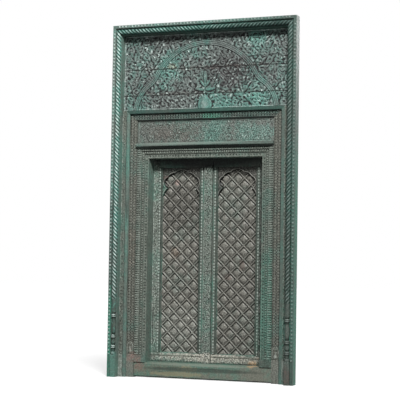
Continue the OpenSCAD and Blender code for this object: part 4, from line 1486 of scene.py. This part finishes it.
@dataclass
class InnerFrame:
    """Jambs and lintel: leaf moulding, bead row and pellet band over the steps, sill, pivot beam. In mm."""

    dresser: Dresser
    # Widths of leaf moulding, bead row and pellet band, their distances from the edges of their steps
    mould: float = 44.0
    step: float = 26.0
    pellet: float = 34.0
    gap: float = 0.8
    pellet_gap: float = 1.0
    # Depths of the steps behind the jamb foot's face, heights of leaves and beads, depth of the cut triangles
    mould_set: float = 3.0
    step_set: float = 8.0
    pellet_set: float = 14.0
    leaf_rise: float = 6.0
    bead_rise: float = 4.0
    pellet_cut: float = 5.0
    # Distances of triangles, leaves and beads along their strips
    pellet_pitch: float = 26.0
    leaf_pitch: float = 19.0
    bead_pitch: float = 20.0
    # Width of the circle round a cut triangle, half width of its sloping edges
    pellet_size: float = 20.0
    bevel: float = 0.8
    # Distances of the leaves' tips and of their cut-off from the edge, half width of the edge lines
    leaf_edge: Pair = (4.5, 4.0)
    line: float = 2.2
    # Height of the strips' grounds above the steps, depth of their backs in them, height of the plain foot
    lift: float = 0.5
    sunk: float = 3.0
    foot: float = 190.0
    # Gap under the lower cornice, depths below it over which the leaf moulding's painted shadow runs out
    cornice_gap: float = 0.5
    shade: Pair = (4.0, 18.0)
    # Distances of mesh points along and across the strips
    grid: float = 3.1
    fine_grid: float = 2.6

    def layout(self, strip: Strip) -> StripPlace:
        """Where a strip lies on the jamb.

        Args:
            strip: Which strip.

        Returns:
            Its place.
        """
        if strip is Strip.PELLET:
            width, depth = self.pellet - 2.0 * self.pellet_gap, self.pellet_set + self.pellet_cut
            return StripPlace(self.pellet_gap, width, depth, self.pellet_cut)
        if strip is Strip.BEAD:
            start, width = self.pellet + self.gap, self.step - 2.0 * self.gap
            return StripPlace(start, width, self.step_set, self.bead_rise)
        start, width = self.pellet + self.step + self.gap, self.mould - 2.0 * self.gap
        return StripPlace(start, width, self.mould_set, self.leaf_rise)

    def shape(self, across: Array, along: Array, half: float, strip: Strip) -> Array:
        """Carving of a strip; a cut triangle is where the greatest of three slopes at 120 degrees is small.

        Args:
            across: Offset from the strip's middle line towards the outside.
            along: Place along the strip from its first pellet.
            half: Half width of the strip.
            strip: Which strip.

        Returns:
            Heights from 0 to 1.
        """
        if strip is Strip.PELLET:
            row = saw(along / self.pellet_pitch) * self.pellet_pitch
            edge = np.maximum(-across, 0.5 * across + 0.866 * np.abs(row))
            return ease(self.pellet_size / 4.0 - self.bevel, self.pellet_size / 4.0 + self.bevel, edge)
        line = edge_lines(across, half, self.line)
        if strip is Strip.LEAF:
            leaves = tongues(across, along, half - self.leaf_edge[0], self.leaf_pitch)
            return np.maximum(leaves * (np.abs(across) < half - self.leaf_edge[1]), 0.9 * line)
        return np.maximum(beads(across, along, 0.62 * half, self.bead_pitch), 0.6 * line)

    def board(self, x: Array, z: Array, shape: Array, ground: float, strip: Strip) -> Carving:
        """Strip as a carved board.

        Args:
            x: Places across.
            z: Heights.
            shape: Its carving, 0 to 1.
            ground: Depth of the jamb foot's face.
            strip: Which strip.

        Returns:
            The carved board.
        """
        place = self.layout(strip)
        relief = 0.1 + (0.55 if strip is Strip.PELLET else 0.75) * shape
        y = ground + place.depth - self.lift - place.rise * shape
        return Carving(x, z, y, ground + place.depth + self.sunk, relief)

    def jamb_strip(self, side: Side, strip: Strip) -> None:
        """Carved strip up a jamb, mitred at its head.

        Args:
            side: Which jamb.
            strip: Which strip.
        """
        jamb, head, place = box_of(f"{side.word}_jamb"), box_of("lintel").foot, self.layout(strip)
        columns, rows = steps(place.width, self.fine_grid), steps(head - self.foot, self.grid)
        reach = jamb.near + np.linspace(place.start, place.start + place.width, columns)
        ends = side.ordered(head + reach - jamb.near)
        x, z = lay_grid(*side.span(reach[0], reach[-1]), self.foot + 1.0, ends, columns, rows)
        across = np.abs(x) - jamb.near - place.start - place.width / 2.0
        shape = self.shape(across, z - self.foot, place.width / 2.0, strip)
        board = self.board(x, z, shape, jamb.front, strip)
        self.dresser.piece(f"{side.word}_jamb_{strip.value}_strip", "worn_carving", "frame", [board])

    def lintel_strip(self, strip: Strip) -> None:
        """Carved strip along the lintel; the leaf moulding runs into a painted shadow under the lower
        cornice.

        Args:
            strip: Which strip.
        """
        lintel, jamb, place = box_of("lintel"), box_of("right_jamb"), self.layout(strip)
        foot = lintel.foot + place.start
        top = foot + place.width
        if strip is Strip.LEAF:
            top = box_of("lower_cornice").foot - self.cornice_gap
        rows = steps(top - foot, self.fine_grid)
        end = jamb.left + np.linspace(foot, top, rows) - lintel.foot
        x, z = lay_grid(-end, end, foot, top, steps(2.0 * jamb.left, self.grid), rows)
        across = z - (foot + top) / 2.0
        across = -across if strip is Strip.PELLET else across
        shape = self.shape(across, x + jamb.left, (top - foot) / 2.0, strip)
        board = self.board(x, z, shape, jamb.front, strip)
        if strip is Strip.LEAF:
            # Painted shadow of the lower cornice: the leaf moulding's tone falls to 0 near its top
            board.relief = board.relief * ease(*self.shade, top - z)
        self.dresser.piece(f"lintel_{strip.value}_strip", "worn_carving", "frame", [board])

    def build(self) -> None:
        """Builds and dresses the inner frame."""
        for strip in Strip:
            for side in Side:
                self.jamb_strip(side, strip)
            self.lintel_strip(strip)
        self.dresser.nodes("plain_carving", "left_jamb", "right_jamb", "lintel")
        self.dresser.nodes("sill_paint", "sill")
        self.dresser.nodes("bare_planks", "pivot_beam")


@dataclass
class Panels:
    """Frieze and tympanum: foliage, ogee arch, bud and plant over the three planks. Sizes in mm."""

    dresser: Dresser
    # Tympanum's foliage: distance of the coils, shift to the left and downwards, height
    pitch: float = 82.0
    shift: Pair = (17.0, 31.0)
    rise: float = 9.0
    # Planks: thickness under the carving, half width of the raised border, width of the carving's run-out
    # at a seam, depth and width of the seam's groove
    plank_depth: float = 35.0
    border: float = 7.0
    seam: float = 4.0
    seam_cut: Pair = (0.8, 3.0)
    # Arch: height of its band, radii at the outer edge and angles in degrees of crown, feet and heels
    arch_rise: float = 10.0
    crown: float = 525.0
    crown_turn: float = 62.0
    flare: float = 200.0
    flare_turn: float = 27.0
    heel: float = 305.0
    heel_turn: float = 53.0
    # Width of the arch's band and of the cut beside it, height of its outer edge above the cornice
    band: float = 41.0
    outline: float = 3.5
    apex: float = 580.0
    # Bud: half width, height of its tip, angle in degrees from upright at which its round part ends
    bud: float = 63.5
    bud_top: float = 124.0
    shoulder: float = 40.0
    # Plant: height above the bud's tip, cleared ground round it, half width and ends of its stem
    plant_foot: float = 34.0
    cleared: float = 5.0
    stem: Place = (5.0, -30.0, 70.0)
    # Plant's leaves: places of their feet aside and upwards, lengths, widths, and leans in radians
    plant: tuple[tuple[float, ...], ...] = ((0.0, 62.0, 106.0, 34.0, 0.0), (6.0, 30.0, 70.0, 20.0, 0.6),
                                            (6.0, -2.0, 92.0, 24.0, 1.38))
    # Frieze: distance of the coils, shift to the left, height, width of the raised edge, what its foot lacks
    frieze_pitch: float = 42.0
    frieze_shift: float = 11.0
    frieze_rise: float = 6.0
    frieze_edge: float = 15.0
    frieze_cut: float = 6.0
    # Distances of mesh points on tympanum and frieze
    grid: float = 3.8
    frieze_grid: float = 3.5

    def arch(self, x: Array, z: Array) -> tuple[Array, Array]:
        """Ogee arch: circles of radius crown, flare and heel run into one another, with three ribs along.

        Args:
            x, z: Places across and heights above the cornice.

        Returns:
            Band heights from 0 to 1, and True where a point lies in the band or in the cut beside it.
        """
        turn, rest = math.radians(self.crown_turn), math.radians(self.crown_turn - self.flare_turn)
        side, half = np.abs(x), self.band / 2.0
        crown = np.array([0.0, self.apex - self.crown])
        flare = crown + (self.crown + self.flare) * np.array([math.sin(turn), math.cos(turn)])
        heel = flare - (self.flare + self.heel) * np.array([math.sin(rest), math.cos(rest)])
        far = [np.hypot(side - c[0], z - c[1]) for c in (crown, flare, heel)]
        round_crown = np.arctan2(side - crown[0], z - crown[1])
        round_flare = np.arctan2(flare[0] - side, flare[1] - z)
        round_heel = np.arctan2(side - heel[0], z - heel[1])
        offsets = (far[0] - self.crown + half, self.flare + half - far[1], far[2] - self.heel + half)
        held = (round_crown <= turn, (round_flare >= rest) & (round_flare <= turn),
                (round_heel >= rest) & (round_heel <= rest + math.radians(self.heel_turn)))
        near = [h & (np.abs(o) < half + self.outline) for o, h in zip(offsets, held)]
        offset = np.select(near, offsets, self.band)
        ribs = np.maximum.reduce([hump(offset - self.band * s, self.band * 0.13) for s in (-0.36, 0.0, 0.36)])
        return (0.55 + 0.45 * ribs) * (np.abs(offset) < half), np.logical_or.reduce(near)

    def bud_shape(self, x: Array, z: Array) -> Array:
        """Pointed bud: a circle with straight sides from its shoulders to the tip, grooved round its heart.

        Args:
            x, z: Places across and heights above the cornice.

        Returns:
            Heights from 0 to 1, a trace above 0 in the cut round the bud.
        """
        shoulder, centre = math.radians(self.shoulder), 0.545 * self.bud
        start = centre + self.bud * math.cos(shoulder)
        round_part = np.sqrt(np.clip(self.bud ** 2 - (z - centre) ** 2, 0.0, None))
        tip = self.bud * math.sin(shoulder) * np.clip((self.bud_top - z) / (self.bud_top - start), 0.0, 1.0)
        share = np.abs(x) / np.maximum(np.where(z > start, tip, round_part), TINY)
        swell = 0.62 + 0.38 * hump(share, 1.0) - 0.22 * hump(share - 0.62, 0.09)
        return np.where(share < 1.0, swell, 0.01) * (share < 1.12) * (z > 0.0) * (z < self.bud_top)

    def plant_shape(self, x: Array, z: Array) -> tuple[Array, Array]:
        """Plant over the bud: a pointed leaf on a stem, a pair beside it, and two that spread at its foot.

        Args:
            x, z: Places across and heights above the cornice.

        Returns:
            Heights from 0 to 1, and True on the plant and the cleared ground round it.
        """
        side, up = np.abs(x), z - self.bud_top - self.plant_foot
        half, low, high = self.stem
        shapes, grounds = [0.8 * hump(x, half) * (up > low) * (up < high)], []
        for aside, rise, length, width, lean in self.plant:
            dx, dz, wider = side - aside, up - rise, 2.0 * self.cleared
            shapes.append(single_leaf(dx, dz, length, width, lean))
            grounds.append(single_leaf(dx, dz + self.cleared, length + wider, width + wider, lean))
        return np.maximum.reduce(shapes), np.maximum.reduce(grounds) > 0.0

    def plank(self, node: str) -> None:
        """One plank of the tympanum with its share of the carving.

        Args:
            node: CAD plank that it stands for.
        """
        box, rail = box_of(node), box_of("top_rail_board").foot
        x, z = cover(box, self.grid, self.grid)
        up = z - box_of("cornice").top
        band, in_arch = self.arch(x, up)
        bud = self.bud_shape(x, up)
        plant, clear = self.plant_shape(x, up)
        leaves = foliage(x + self.shift[0], up + self.shift[1], self.pitch, 3.0)
        margin = np.minimum.reduce([box_of("right_post_board").near - np.abs(x), up, np.abs(rail - z)])
        border = 0.8 * hump(margin - self.border, self.border)
        in_form, form = in_arch | (bud > 0.0), np.maximum(band, bud)
        ground = self.rise * np.maximum(np.where(clear, plant, leaves), border)
        height = np.where(in_form, self.arch_rise * form, ground)
        seam, (cut, reach) = np.minimum(z - box.foot, box.top - z), self.seam_cut
        height = height * ease(0.0, self.seam, seam) - cut * (1.0 - ease(0.0, reach, seam))
        height = np.where(z > rail - 0.5, -cut, height)
        tint = np.maximum.reduce([0.08 * in_arch, 0.10 * (bud > 0.0), 0.30 * (plant > 0.2)])
        relief = np.where(in_form, 0.05 + 0.62 * (form - 0.5) / 0.5, 1.08 * height / self.rise - 0.08)
        relief = np.clip(relief, 0.0, 1.0)
        relief = np.where(clear & (bud <= 0.0), 0.72 * relief, relief)
        board = Carving(x, z, box.back - self.plank_depth - height, box.back, relief, tint)
        name = node.replace("plank", "carving")
        self.dresser.piece(name, "foliage_paint", "frame", [board], node, crease=PANEL_CREASE)

    def frieze(self) -> None:
        """Frieze: small foliage inside a raised plain edge."""
        box, width = box_of("frieze_panel"), self.frieze_edge
        x, z = cover(box, self.frieze_grid, self.frieze_grid)
        edge = np.minimum.reduce([x - box.left, box.right - x, box.top - z, z - box.foot + self.frieze_cut])
        leaves = foliage(x + self.frieze_shift, z, self.frieze_pitch, 21.0) * ease(width, width + 4.0, edge)
        raised = 0.85 + 0.15 * hump(edge - width / 2.0, width / 2.0)
        shape = np.where(edge < width, raised, leaves)
        relief = np.where(edge < width, 0.6, 0.1 + 0.8 * shape)
        board = Carving(x, z, box.front + self.frieze_rise * (1.0 - shape), box.back, relief)
        self.dresser.piece("frieze_carving", "frieze_paint", "frame", [board], "frieze_panel",
                           crease=PANEL_CREASE)

    def build(self) -> None:
        """Builds and dresses frieze and tympanum."""
        for part in ("lower", "middle", "upper"):
            self.plank(f"tympanum_{part}_plank")
        self.frieze()
        self.dresser.nodes("bare_wood", "tympanum_battens")


@dataclass
class Leaf:
    """One leaf: lattice under its cusped arch, stile, bottom band, astragal on the left leaf. Sizes in mm."""

    dresser: Dresser
    side: Side
    # Lattice: diamonds across and their rise, width and height of the ribs
    columns: int = 3
    rise: float = 113.5
    rib: float = 11.0
    rib_rise: float = 12.0
    # Pillows: height, channel round them, width of their sloping sides, radii and height of their flowers
    pillow_rise: float = 10.0
    channel: float = 6.5
    slope: float = 18.0
    star: float = 24.0
    flower: float = 23.0
    petal_rise: float = 2.8
    # Pearl strips: width, radius and distance of the pearls
    pearl_strip: float = 30.0
    pearl: float = 7.5
    pearl_pitch: float = 26.0
    # Arch board: height, widths at foot and cusps, heights of foot, cusps and point, bulges of the foils
    arch_height: float = 240.0
    cusp_in: tuple[float, ...] = (4.0, 43.0, 46.0, 112.0)
    cusp_up: tuple[float, ...] = (0.0, 63.0, 159.0, 194.0, 221.0)
    bulges: tuple[float, ...] = (8.0, 34.0, 11.0, 6.0)
    # Spandrels: half width of the rim, distance of the coils, their shift, depth of the ground, height
    rim: float = 5.0
    spandrel_pitch: float = 52.0
    spandrel_shift: float = 7.0
    spandrel_set: float = 2.0
    spandrel_rise: float = 5.0
    # Hanging stile and astragal: foliage, height and depth of the carving, fall of the astragal's face
    stile_leaves: FoliageBand = FoliageBand(pitch=36.0, salt=41.0, line=2.4, margin=4.2, edge=0.9)
    stile_rise: float = 6.0
    strip_leaves: FoliageBand = FoliageBand(pitch=44.0, salt=51.0, line=3.2, margin=6.2, edge=0.85)
    strip_cut: float = 7.0
    strip_bow: float = 5.0
    # Distances of carvings from the opening's edge, the lintel, the meeting edge, and pearl strip or astragal
    opening_gap: float = 3.0
    lintel_gap: float = 4.0
    meeting_gap: float = 1.5
    strip_gap: float = 1.0
    # Bottom band: distances from the rail's edges, distance of the coils, their shift upwards, height
    band_ends: Pair = (4.0, 5.0)
    band_pitch: float = 50.0
    band_shift: float = 27.0
    band_rise: float = 5.0
    # Mesh points along a foil, from it to the board's edge and up the bottom band; distances of the others
    foil_points: int = 21
    ray_points: int = 36
    band_rows: int = 32
    grid: float = 3.5
    band_grid: float = 3.3
    stile_grid: float = 2.9
    strip_grid: float = 3.0
    pearl_grid: float = 2.3

    @property
    def body(self) -> str:
        """CAD body of this leaf."""
        return f"{self.side.word}_leaf"

    @property
    def reach(self) -> float:
        """Distance of the carving's outer edge from the door's middle line, mm."""
        return box_of(f"{self.side.word}_jamb").near - self.opening_gap

    def lattice(self, x: Array, z: Array, width: float) -> tuple[Array, Array]:
        """Diamond lattice: round ribs along both diagonals, and in each diamond a low pyramid with a flower.

        Args:
            x: Places from the lattice's inner edge.
            z: Places from the lattice's foot.
            width: Width of the lattice.

        Returns:
            Heights in mm, and tones from 0 to 1, with a painted highlight on the ribs and painted shade in
            the channels.
        """
        a, b = width / self.columns / 2.0, self.rise / 2.0
        scale = a * b / math.hypot(a, b)
        p, q = (x / a + z / b) / 2.0, (x / a - z / b) / 2.0
        gap = 2.0 * scale * np.minimum(np.abs(saw(p + 0.5)), np.abs(saw(q + 0.5)))
        dx, dz = (saw(p) + saw(q)) * a, (saw(p) - saw(q)) * b
        rib = hump(gap, self.rib / 2.0 + 0.6) ** 0.7
        slope = np.clip((gap - self.rib / 2.0 - self.channel) / self.slope, 0.0, 1.0)
        star_row = np.mod(np.floor(p) + np.floor(q), 2.0) == 0.0
        star, flower = rosette(dx, dz, self.star, 4, math.pi / 4.0), rosette(dx, dz, self.flower, 8)
        flower = np.where(star_row, star, flower) * ease(0.0, 0.35, slope)
        bed = (self.pillow_rise - self.petal_rise) * (0.5 * slope + 0.5 * ease(0.0, 0.5, slope))
        # Painted light: the ribs' tone is pale, the channels' dark, rising over the pillows' slopes
        lit = 0.10 + 0.36 * ease(-0.1, 0.4, slope) + 0.14 * (flower - 0.6) * ease(0.2, 0.5, slope)
        tone = np.clip(np.maximum(0.58 * rib, lit), 0.0, 1.0)
        return np.maximum(self.rib_rise * rib, bed + self.petal_rise * flower), tone

    def foils(self, width: float) -> tuple[Array, Array, Array]:
        """Cusps and foils of the arch's right half, each foil a circle through two cusps with a given bulge.

        Args:
            width: Width of the panel.

        Returns:
            Cusp places, foil centres and foil radii, mm, from the arch's middle line and foot.
        """
        across = [width / 2.0 - inset for inset in self.cusp_in] + [0.0]
        cusps = np.stack([np.array(across), np.array(self.cusp_up)], -1)
        step = np.diff(cusps, axis=0)
        chord = np.linalg.norm(step, axis=1)
        bulge = np.array(self.bulges)
        radius = chord ** 2 / (8.0 * bulge) + bulge / 2.0
        outward = np.stack([step[:, 1], -step[:, 0]], -1) / chord[:, None]
        return cusps, (cusps[1:] + cusps[:-1]) / 2.0 + (bulge - radius)[:, None] * outward, radius

    def arch_gap(self, x: Array, z: Array, width: float) -> Array:
        """Distance outside the arch's opening: the least distance to its foils, and below 0 under its cusps.

        Args:
            x: Places from the panel's middle line.
            z: Heights above the arch board's foot.
            width: Width of the panel.

        Returns:
            Distances in mm, below 0 inside the opening.
        """
        cusps, centres, radius = self.foils(width)
        side = np.abs(x)
        away = np.hypot(side[..., None] - centres[:, 0], z[..., None] - centres[:, 1]) - radius
        under = z < np.interp(side, cusps[::-1, 0], cusps[::-1, 1])
        return np.where(under, -20.0, np.min(away, axis=-1))

    def panel(self) -> None:
        """Lattice panel: ribs and pillows up to the arch's edge, flat behind the arch board, with a painted
        shadow under its edge.
        """
        name = f"{self.side.word}_lattice_panel"
        box = box_of(name)
        x, z = cover(box, self.grid, self.grid)
        height, relief = self.lattice(np.abs(x) - box.near, z - box.foot, box.width)
        gap = self.arch_gap(x - box.middle, z - box.top + self.arch_height, box.width)
        under_arch = z > box.top - self.arch_height
        height = np.where((gap > 3.0) & under_arch, 0.0, height)
        # Painted shadow under the arch board's edge: the lattice's tone falls to 0 near the edge
        relief = relief * np.where(under_arch, ease(-4.0, -20.0, gap), 1.0)
        board = Carving(x, z, box.front + self.rib_rise - height, box.back, relief)
        self.dresser.piece(f"{self.side.word}_lattice_carving", "lattice_wood", self.body, [board], name,
                           crease=LATTICE_CREASE)

    def cusped_edge(self, width: float) -> tuple[Array, Array]:
        """Points along each foil, from the left foot over the arch's point to the right foot.

        Args:
            width: Width of the panel.

        Returns:
            Places across from the middle line and heights above the foot.
        """
        cusps, centres, radius = self.foils(width)
        share = np.linspace(0.0, 1.0, self.foil_points)[:-1]
        first = np.arctan2(cusps[:-1, 1] - centres[:, 1], cusps[:-1, 0] - centres[:, 0])
        last = np.arctan2(cusps[1:, 1] - centres[:, 1], cusps[1:, 0] - centres[:, 0])
        turn = first[:, None] + (last - first)[:, None] * share
        right_x = np.append((centres[:, :1] + radius[:, None] * np.cos(turn)).ravel(), 0.0)
        right_z = np.append((centres[:, 1:] + radius[:, None] * np.sin(turn)).ravel(), cusps[-1, 1])
        right_z[0] = 0.0
        return np.concatenate([-right_x, right_x[-2::-1]]), np.concatenate([right_z, right_z[-2::-1]])

    def arch(self) -> None:
        """Arch board: rays from the arch's foot carry its cusped edge out to the board's rectangle.

        Each ray ends where it meets the board's side or top, and those nearest the corners run into them.
        A rim follows the edge, and foliage fills the spandrels.
        """
        name = f"{self.side.word}_cusped_arch"
        box = box_of(name)
        half, height = box.width / 2.0, box.height
        edge_x, edge_z = self.cusped_edge(box.width)
        reach = np.minimum(half / np.maximum(np.abs(edge_x), 1e-6), height / np.maximum(edge_z, 1e-6))
        far_x, far_z = edge_x * reach, edge_z * reach
        for corner in (-half, half):
            nearest = np.argmin(np.hypot(far_x - corner, far_z - height))
            far_x[nearest], far_z[nearest] = corner, height
        v = np.linspace(0.0, 1.0, self.ray_points)[:, None] ** 1.2
        x, z = edge_x + v * (far_x - edge_x), edge_z + v * (far_z - edge_z)
        gap = np.maximum(self.arch_gap(x, z, box.width), 0.0)
        border = np.minimum(height - z, half - np.abs(x))
        leaves = foliage(x * self.side.value + self.spandrel_shift, z, self.spandrel_pitch, 5.0)
        leaves = leaves * ease(2.0 * self.rim, 2.0 * self.rim + 4.0, gap) * ease(1.0, 6.0, border)
        shape = np.maximum(leaves, hump(gap - self.rim, self.rim))
        y = box.front + self.spandrel_set - self.spandrel_rise * shape
        board = Carving(x + box.middle, z + box.foot, y, box.back, 0.12 + 0.88 * shape)
        self.dresser.piece(f"{self.side.word}_arch_carving", "spandrel_wood", self.body, [board], name,
                           crease=ARCH_CREASE)

    def stile(self) -> None:
        """Foliage up the hanging stile's face, between the pearl strip and the edge of the opening."""
        pearls, front = box_of(f"{self.side.word}_pearl_strips"), box_of(f"{self.side.word}_top_rail").front
        inner, outer = pearls.far + self.strip_gap, self.reach
        foot, top = pearls.foot, box_of("lintel").foot - self.lintel_gap
        columns, rows = steps(outer - inner, self.stile_grid), steps(top - foot, self.band_grid)
        x, z = lay_grid(*self.side.span(inner, outer), foot, top, columns, rows)
        across = np.abs(x) - (inner + outer) / 2.0
        shape = self.stile_leaves.shape(across * self.side.value, z, (outer - inner) / 2.0)
        board = Carving(x, z, front - PROUD - self.stile_rise * shape, front + SUNK, 0.1 + 0.9 * shape)
        self.dresser.piece(f"{self.side.word}_stile_carving", "leaf_carving", self.body, [board])

    def pearls(self) -> None:
        """Pearl strips on both sides of the lattice: flat, with a row of round pearls along the far edge."""
        name = f"{self.side.word}_pearl_strips"
        box, half = box_of(name), self.pearl_pitch / 2.0
        columns, rows = steps(self.pearl_strip, self.pearl_grid), steps(box.height, self.strip_grid)
        boards = []
        for edge, hand in ((box.left, 1.0), (box.right, -1.0)):
            near, far = sorted((edge, edge + hand * self.pearl_strip))
            x, z = lay_grid(near, far, box.foot, box.top, columns, rows)
            rod = hand * (x - edge) - self.pearl
            along = saw((z - box.foot) / self.pearl_pitch + 0.5) * self.pearl_pitch
            round_part = np.sqrt(np.clip(self.pearl ** 2 - rod ** 2, 0.0, None))
            y = box.front + self.pearl - round_part * (0.35 + 0.65 * hump(along, half + 0.2))
            relief = 0.12 + 0.88 * hump(along, half - 3.0) * round_part / self.pearl
            boards.append(Carving(x, z, y, box.back, relief))
        self.dresser.piece(f"{self.side.word}_pearl_carving", "pearl_paint", self.body, boards, name)

    def bottom_band(self) -> None:
        """Carved band across the leaf's foot, under a plain bead whose middle is at 0.82 of the height."""
        rail, outer = box_of(f"{self.side.word}_bottom_rail"), self.reach
        left, right = box_of(f"{self.side.word}_meeting_stile").left + self.meeting_gap, outer
        if self.side is Side.LEFT:
            left, right = -outer, box_of("astragal").left - self.strip_gap
        foot, top = rail.foot + self.band_ends[0], rail.top - self.band_ends[1]
        x, z = lay_grid(left, right, foot, top, steps(right - left, self.strip_grid), self.band_rows)
        t = (z - foot) / (top - foot)
        leaves = foliage(x, z - rail.foot - self.band_shift, self.band_pitch, 13.0)
        leaves = leaves * ease(0.62, 0.58, t) * ease(0.02, 0.06, t)
        shape = np.maximum(leaves, 0.95 * hump(t - 0.82, 0.17))
        relief = np.where(t > 0.62, 0.2 + 0.4 * shape, 0.15 + 0.8 * shape)
        board = Carving(x, z, rail.front - PROUD - self.band_rise * shape, rail.front + SUNK, relief)
        self.dresser.piece(f"{self.side.word}_bottom_band", "leaf_carving", self.body, [board])

    def astragal(self) -> None:
        """Cover strip beside the meeting line: foliage on a rounded face with edge lines."""
        box = box_of("astragal")
        x, z = cover(box, self.strip_grid, self.band_grid)
        across, half = x - box.middle, box.width / 2.0
        shape = self.strip_leaves.shape(across, z, half)
        bow = self.strip_bow * (np.abs(across) / half) ** 2
        board = Carving(x, z, box.front + bow + self.strip_cut * (1.0 - shape), box.back, 0.1 + 0.9 * shape)
        self.dresser.piece("astragal_carving", "leaf_carving", self.body, [board], "astragal")

    def build(self) -> None:
        """Builds and dresses the leaf."""
        self.panel()
        self.arch()
        self.stile()
        self.pearls()
        self.bottom_band()
        if self.side is Side.LEFT:
            self.astragal()
        word = self.side.word
        self.dresser.nodes("leaf_paint", f"{word}_hanging_stile", f"{word}_meeting_stile", f"{word}_top_rail",
                           f"{word}_bottom_rail")
        self.dresser.nodes("bare_planks", f"{word}_back_ledges")
        self.dresser.nodes("nail_iron", f"{word}_ledge_nails")


@dataclass(frozen=True)
class Lamp:
    """Square soft lamp: its name, its place and side in metres, its strength in watts."""

    name: str
    place: Place
    size: float
    power: float

    def hang(self, aim: Vector) -> None:
        """Puts the lamp into the scene.

        Args:
            aim: Point that it faces, metres.
        """
        data = bpy.data.lights.new(self.name, "AREA")
        data.shape = "SQUARE"
        data.size = self.size
        data.energy = self.power
        lamp = bpy.data.objects.new(self.name, data)
        lamp.location = self.place
        lamp.rotation_euler = (aim - Vector(self.place)).to_track_quat("-Z", "Y").to_euler()
        bpy.context.scene.collection.objects.link(lamp)


@dataclass
class Studio:
    """Floor, light, background and camera. Sizes in metres."""

    # Camera: place, turn to the left, upward tilt and roll in degrees, lens and sensor in mm, reach of sight
    eye: Place = (3.9781, -10.07105, 0.9128)
    yaw: float = 21.816
    pitch: float = 3.117
    roll: float = 0.8989
    lens: float = 116.07
    sensor: float = 36.0
    sight: float = 200.0
    # Lamps in front of, beside and behind the door, the point that they face, strength of the even light
    lamps: tuple[Lamp, ...] = (
        Lamp("key_lamp", (3.8, -7.1, 9.2), size=1.8, power=2050.0),
        Lamp("fill_lamp", (-6.0, -7.0, 3.0), size=3.0, power=20.0),
        Lamp("rear_lamp", (2.5, 6.0, 5.0), size=3.0, power=300.0))
    aim: Place = (0.0, 0.0, 1.6)
    sky: float = 0.035
    # Floor: radius, corners, height just under the door, share of white at the door, distances to full white
    floor_radius: float = 60.0
    floor_points: int = 96
    floor_place: float = -0.0005
    near_white: float = 0.62
    white_span: Pair = (1.5, 5.0)

    def camera(self) -> None:
        """Camera at the photograph's place: right, up and backward axes from yaw, pitch and roll."""
        yaw, pitch, roll = (math.radians(v) for v in (self.yaw, self.pitch, self.roll))
        forward = Vector((-math.sin(yaw) * math.cos(pitch), math.cos(yaw) * math.cos(pitch), math.sin(pitch)))
        right = Vector((math.cos(yaw), math.sin(yaw), 0.0))
        up = right.cross(forward)
        turned = (math.cos(roll) * right + math.sin(roll) * up, -math.sin(roll) * right + math.cos(roll) * up,
                  -forward)
        data = bpy.data.cameras.new("view_camera")
        data.lens = self.lens
        data.sensor_width = self.sensor
        data.clip_end = self.sight
        camera = bpy.data.objects.new("view_camera", data)
        camera.matrix_world = Matrix.Translation(self.eye) @ Matrix(turned).transposed().to_4x4()
        bpy.context.scene.collection.objects.link(camera)
        bpy.context.scene.camera = camera

    def background(self) -> None:
        """Even white surroundings: white to the camera and in reflections, a soft grey as light."""
        world = bpy.data.worlds.new("studio")
        bpy.context.scene.world = world
        world.use_nodes = True
        graph = Graph(world.node_tree)
        light = world.node_tree.nodes["Background"]
        light.inputs["Color"].default_value = (1.0, 1.0, 1.0, 1.0)
        strength = graph.plus(self.sky, graph.times(graph.seen(), 1.0 - self.sky))
        graph.feed(light.inputs["Strength"], strength)

    def floor_paint(self) -> bpy.types.Material:
        """Pale floor that glows to white away from the door, and is dim to the light that it throws back.

        Returns:
            The new material.
        """
        material, graph, shader = start_material("pale_floor")
        place = graph.add("ShaderNodeTexCoord").outputs["Object"]
        for key, value in (("Base Color", (0.9, 0.9, 0.9)), ("Roughness", 0.9), ("Specular IOR Level", 0.1)):
            graph.feed(shader.inputs[key], value)
        glow = graph.join(graph.add("ShaderNodeEmission"), 0, Strength=1.15)
        dim = graph.join(graph.add("ShaderNodeBsdfDiffuse"), 0, Color=(0.25, 0.25, 0.25))
        far = graph.step(graph.length(place), *self.white_span)
        white = graph.plus(self.near_white, graph.times(far, 1.0 - self.near_white))
        pale = graph.paired(graph.add("ShaderNodeMixShader"), white, shader.outputs[0], glow).outputs[0]
        shown = graph.paired(graph.add("ShaderNodeMixShader"), graph.seen(), dim, pale).outputs[0]
        graph.feed(material.node_tree.nodes["Material Output"].inputs["Surface"], shown)
        return material

    def floor(self) -> None:
        """Pale round floor, on which only the door's shadow shows."""
        mesh = bpy.data.meshes.new("floor")
        ring = np.linspace(0.0, FULL_TURN, self.floor_points + 1)[:-1]
        level = np.full_like(ring, self.floor_place)
        points = np.stack([self.floor_radius * np.cos(ring), self.floor_radius * np.sin(ring), level], -1)
        mesh.from_pydata(points.tolist(), [], [list(range(len(ring)))])
        mesh.materials.append(self.floor_paint())
        floor = bpy.data.objects.new("floor", mesh)
        bpy.context.scene.collection.objects.link(floor)

    def build(self) -> None:
        """Sets up the studio."""
        bpy.context.scene.view_settings.view_transform = "Standard"
        self.camera()
        for lamp in self.lamps:
            lamp.hang(Vector(self.aim))
        self.background()
        self.floor()


def main() -> None:
    """Builds the door's looks and its studio in order."""
    logging.basicConfig(level=logging.INFO, format="%(name)s: %(message)s")
    dresser = Dresser()
    parts = [kind(dresser) for kind in (RopeFrame, CarvedBands, InnerFrame, Panels)]
    for part in parts + [Leaf(dresser, side) for side in Side]:
        part.build()
        LOG.info("built %s", type(part).__name__)
    Studio().build()


if __name__ == "__main__":
    main()
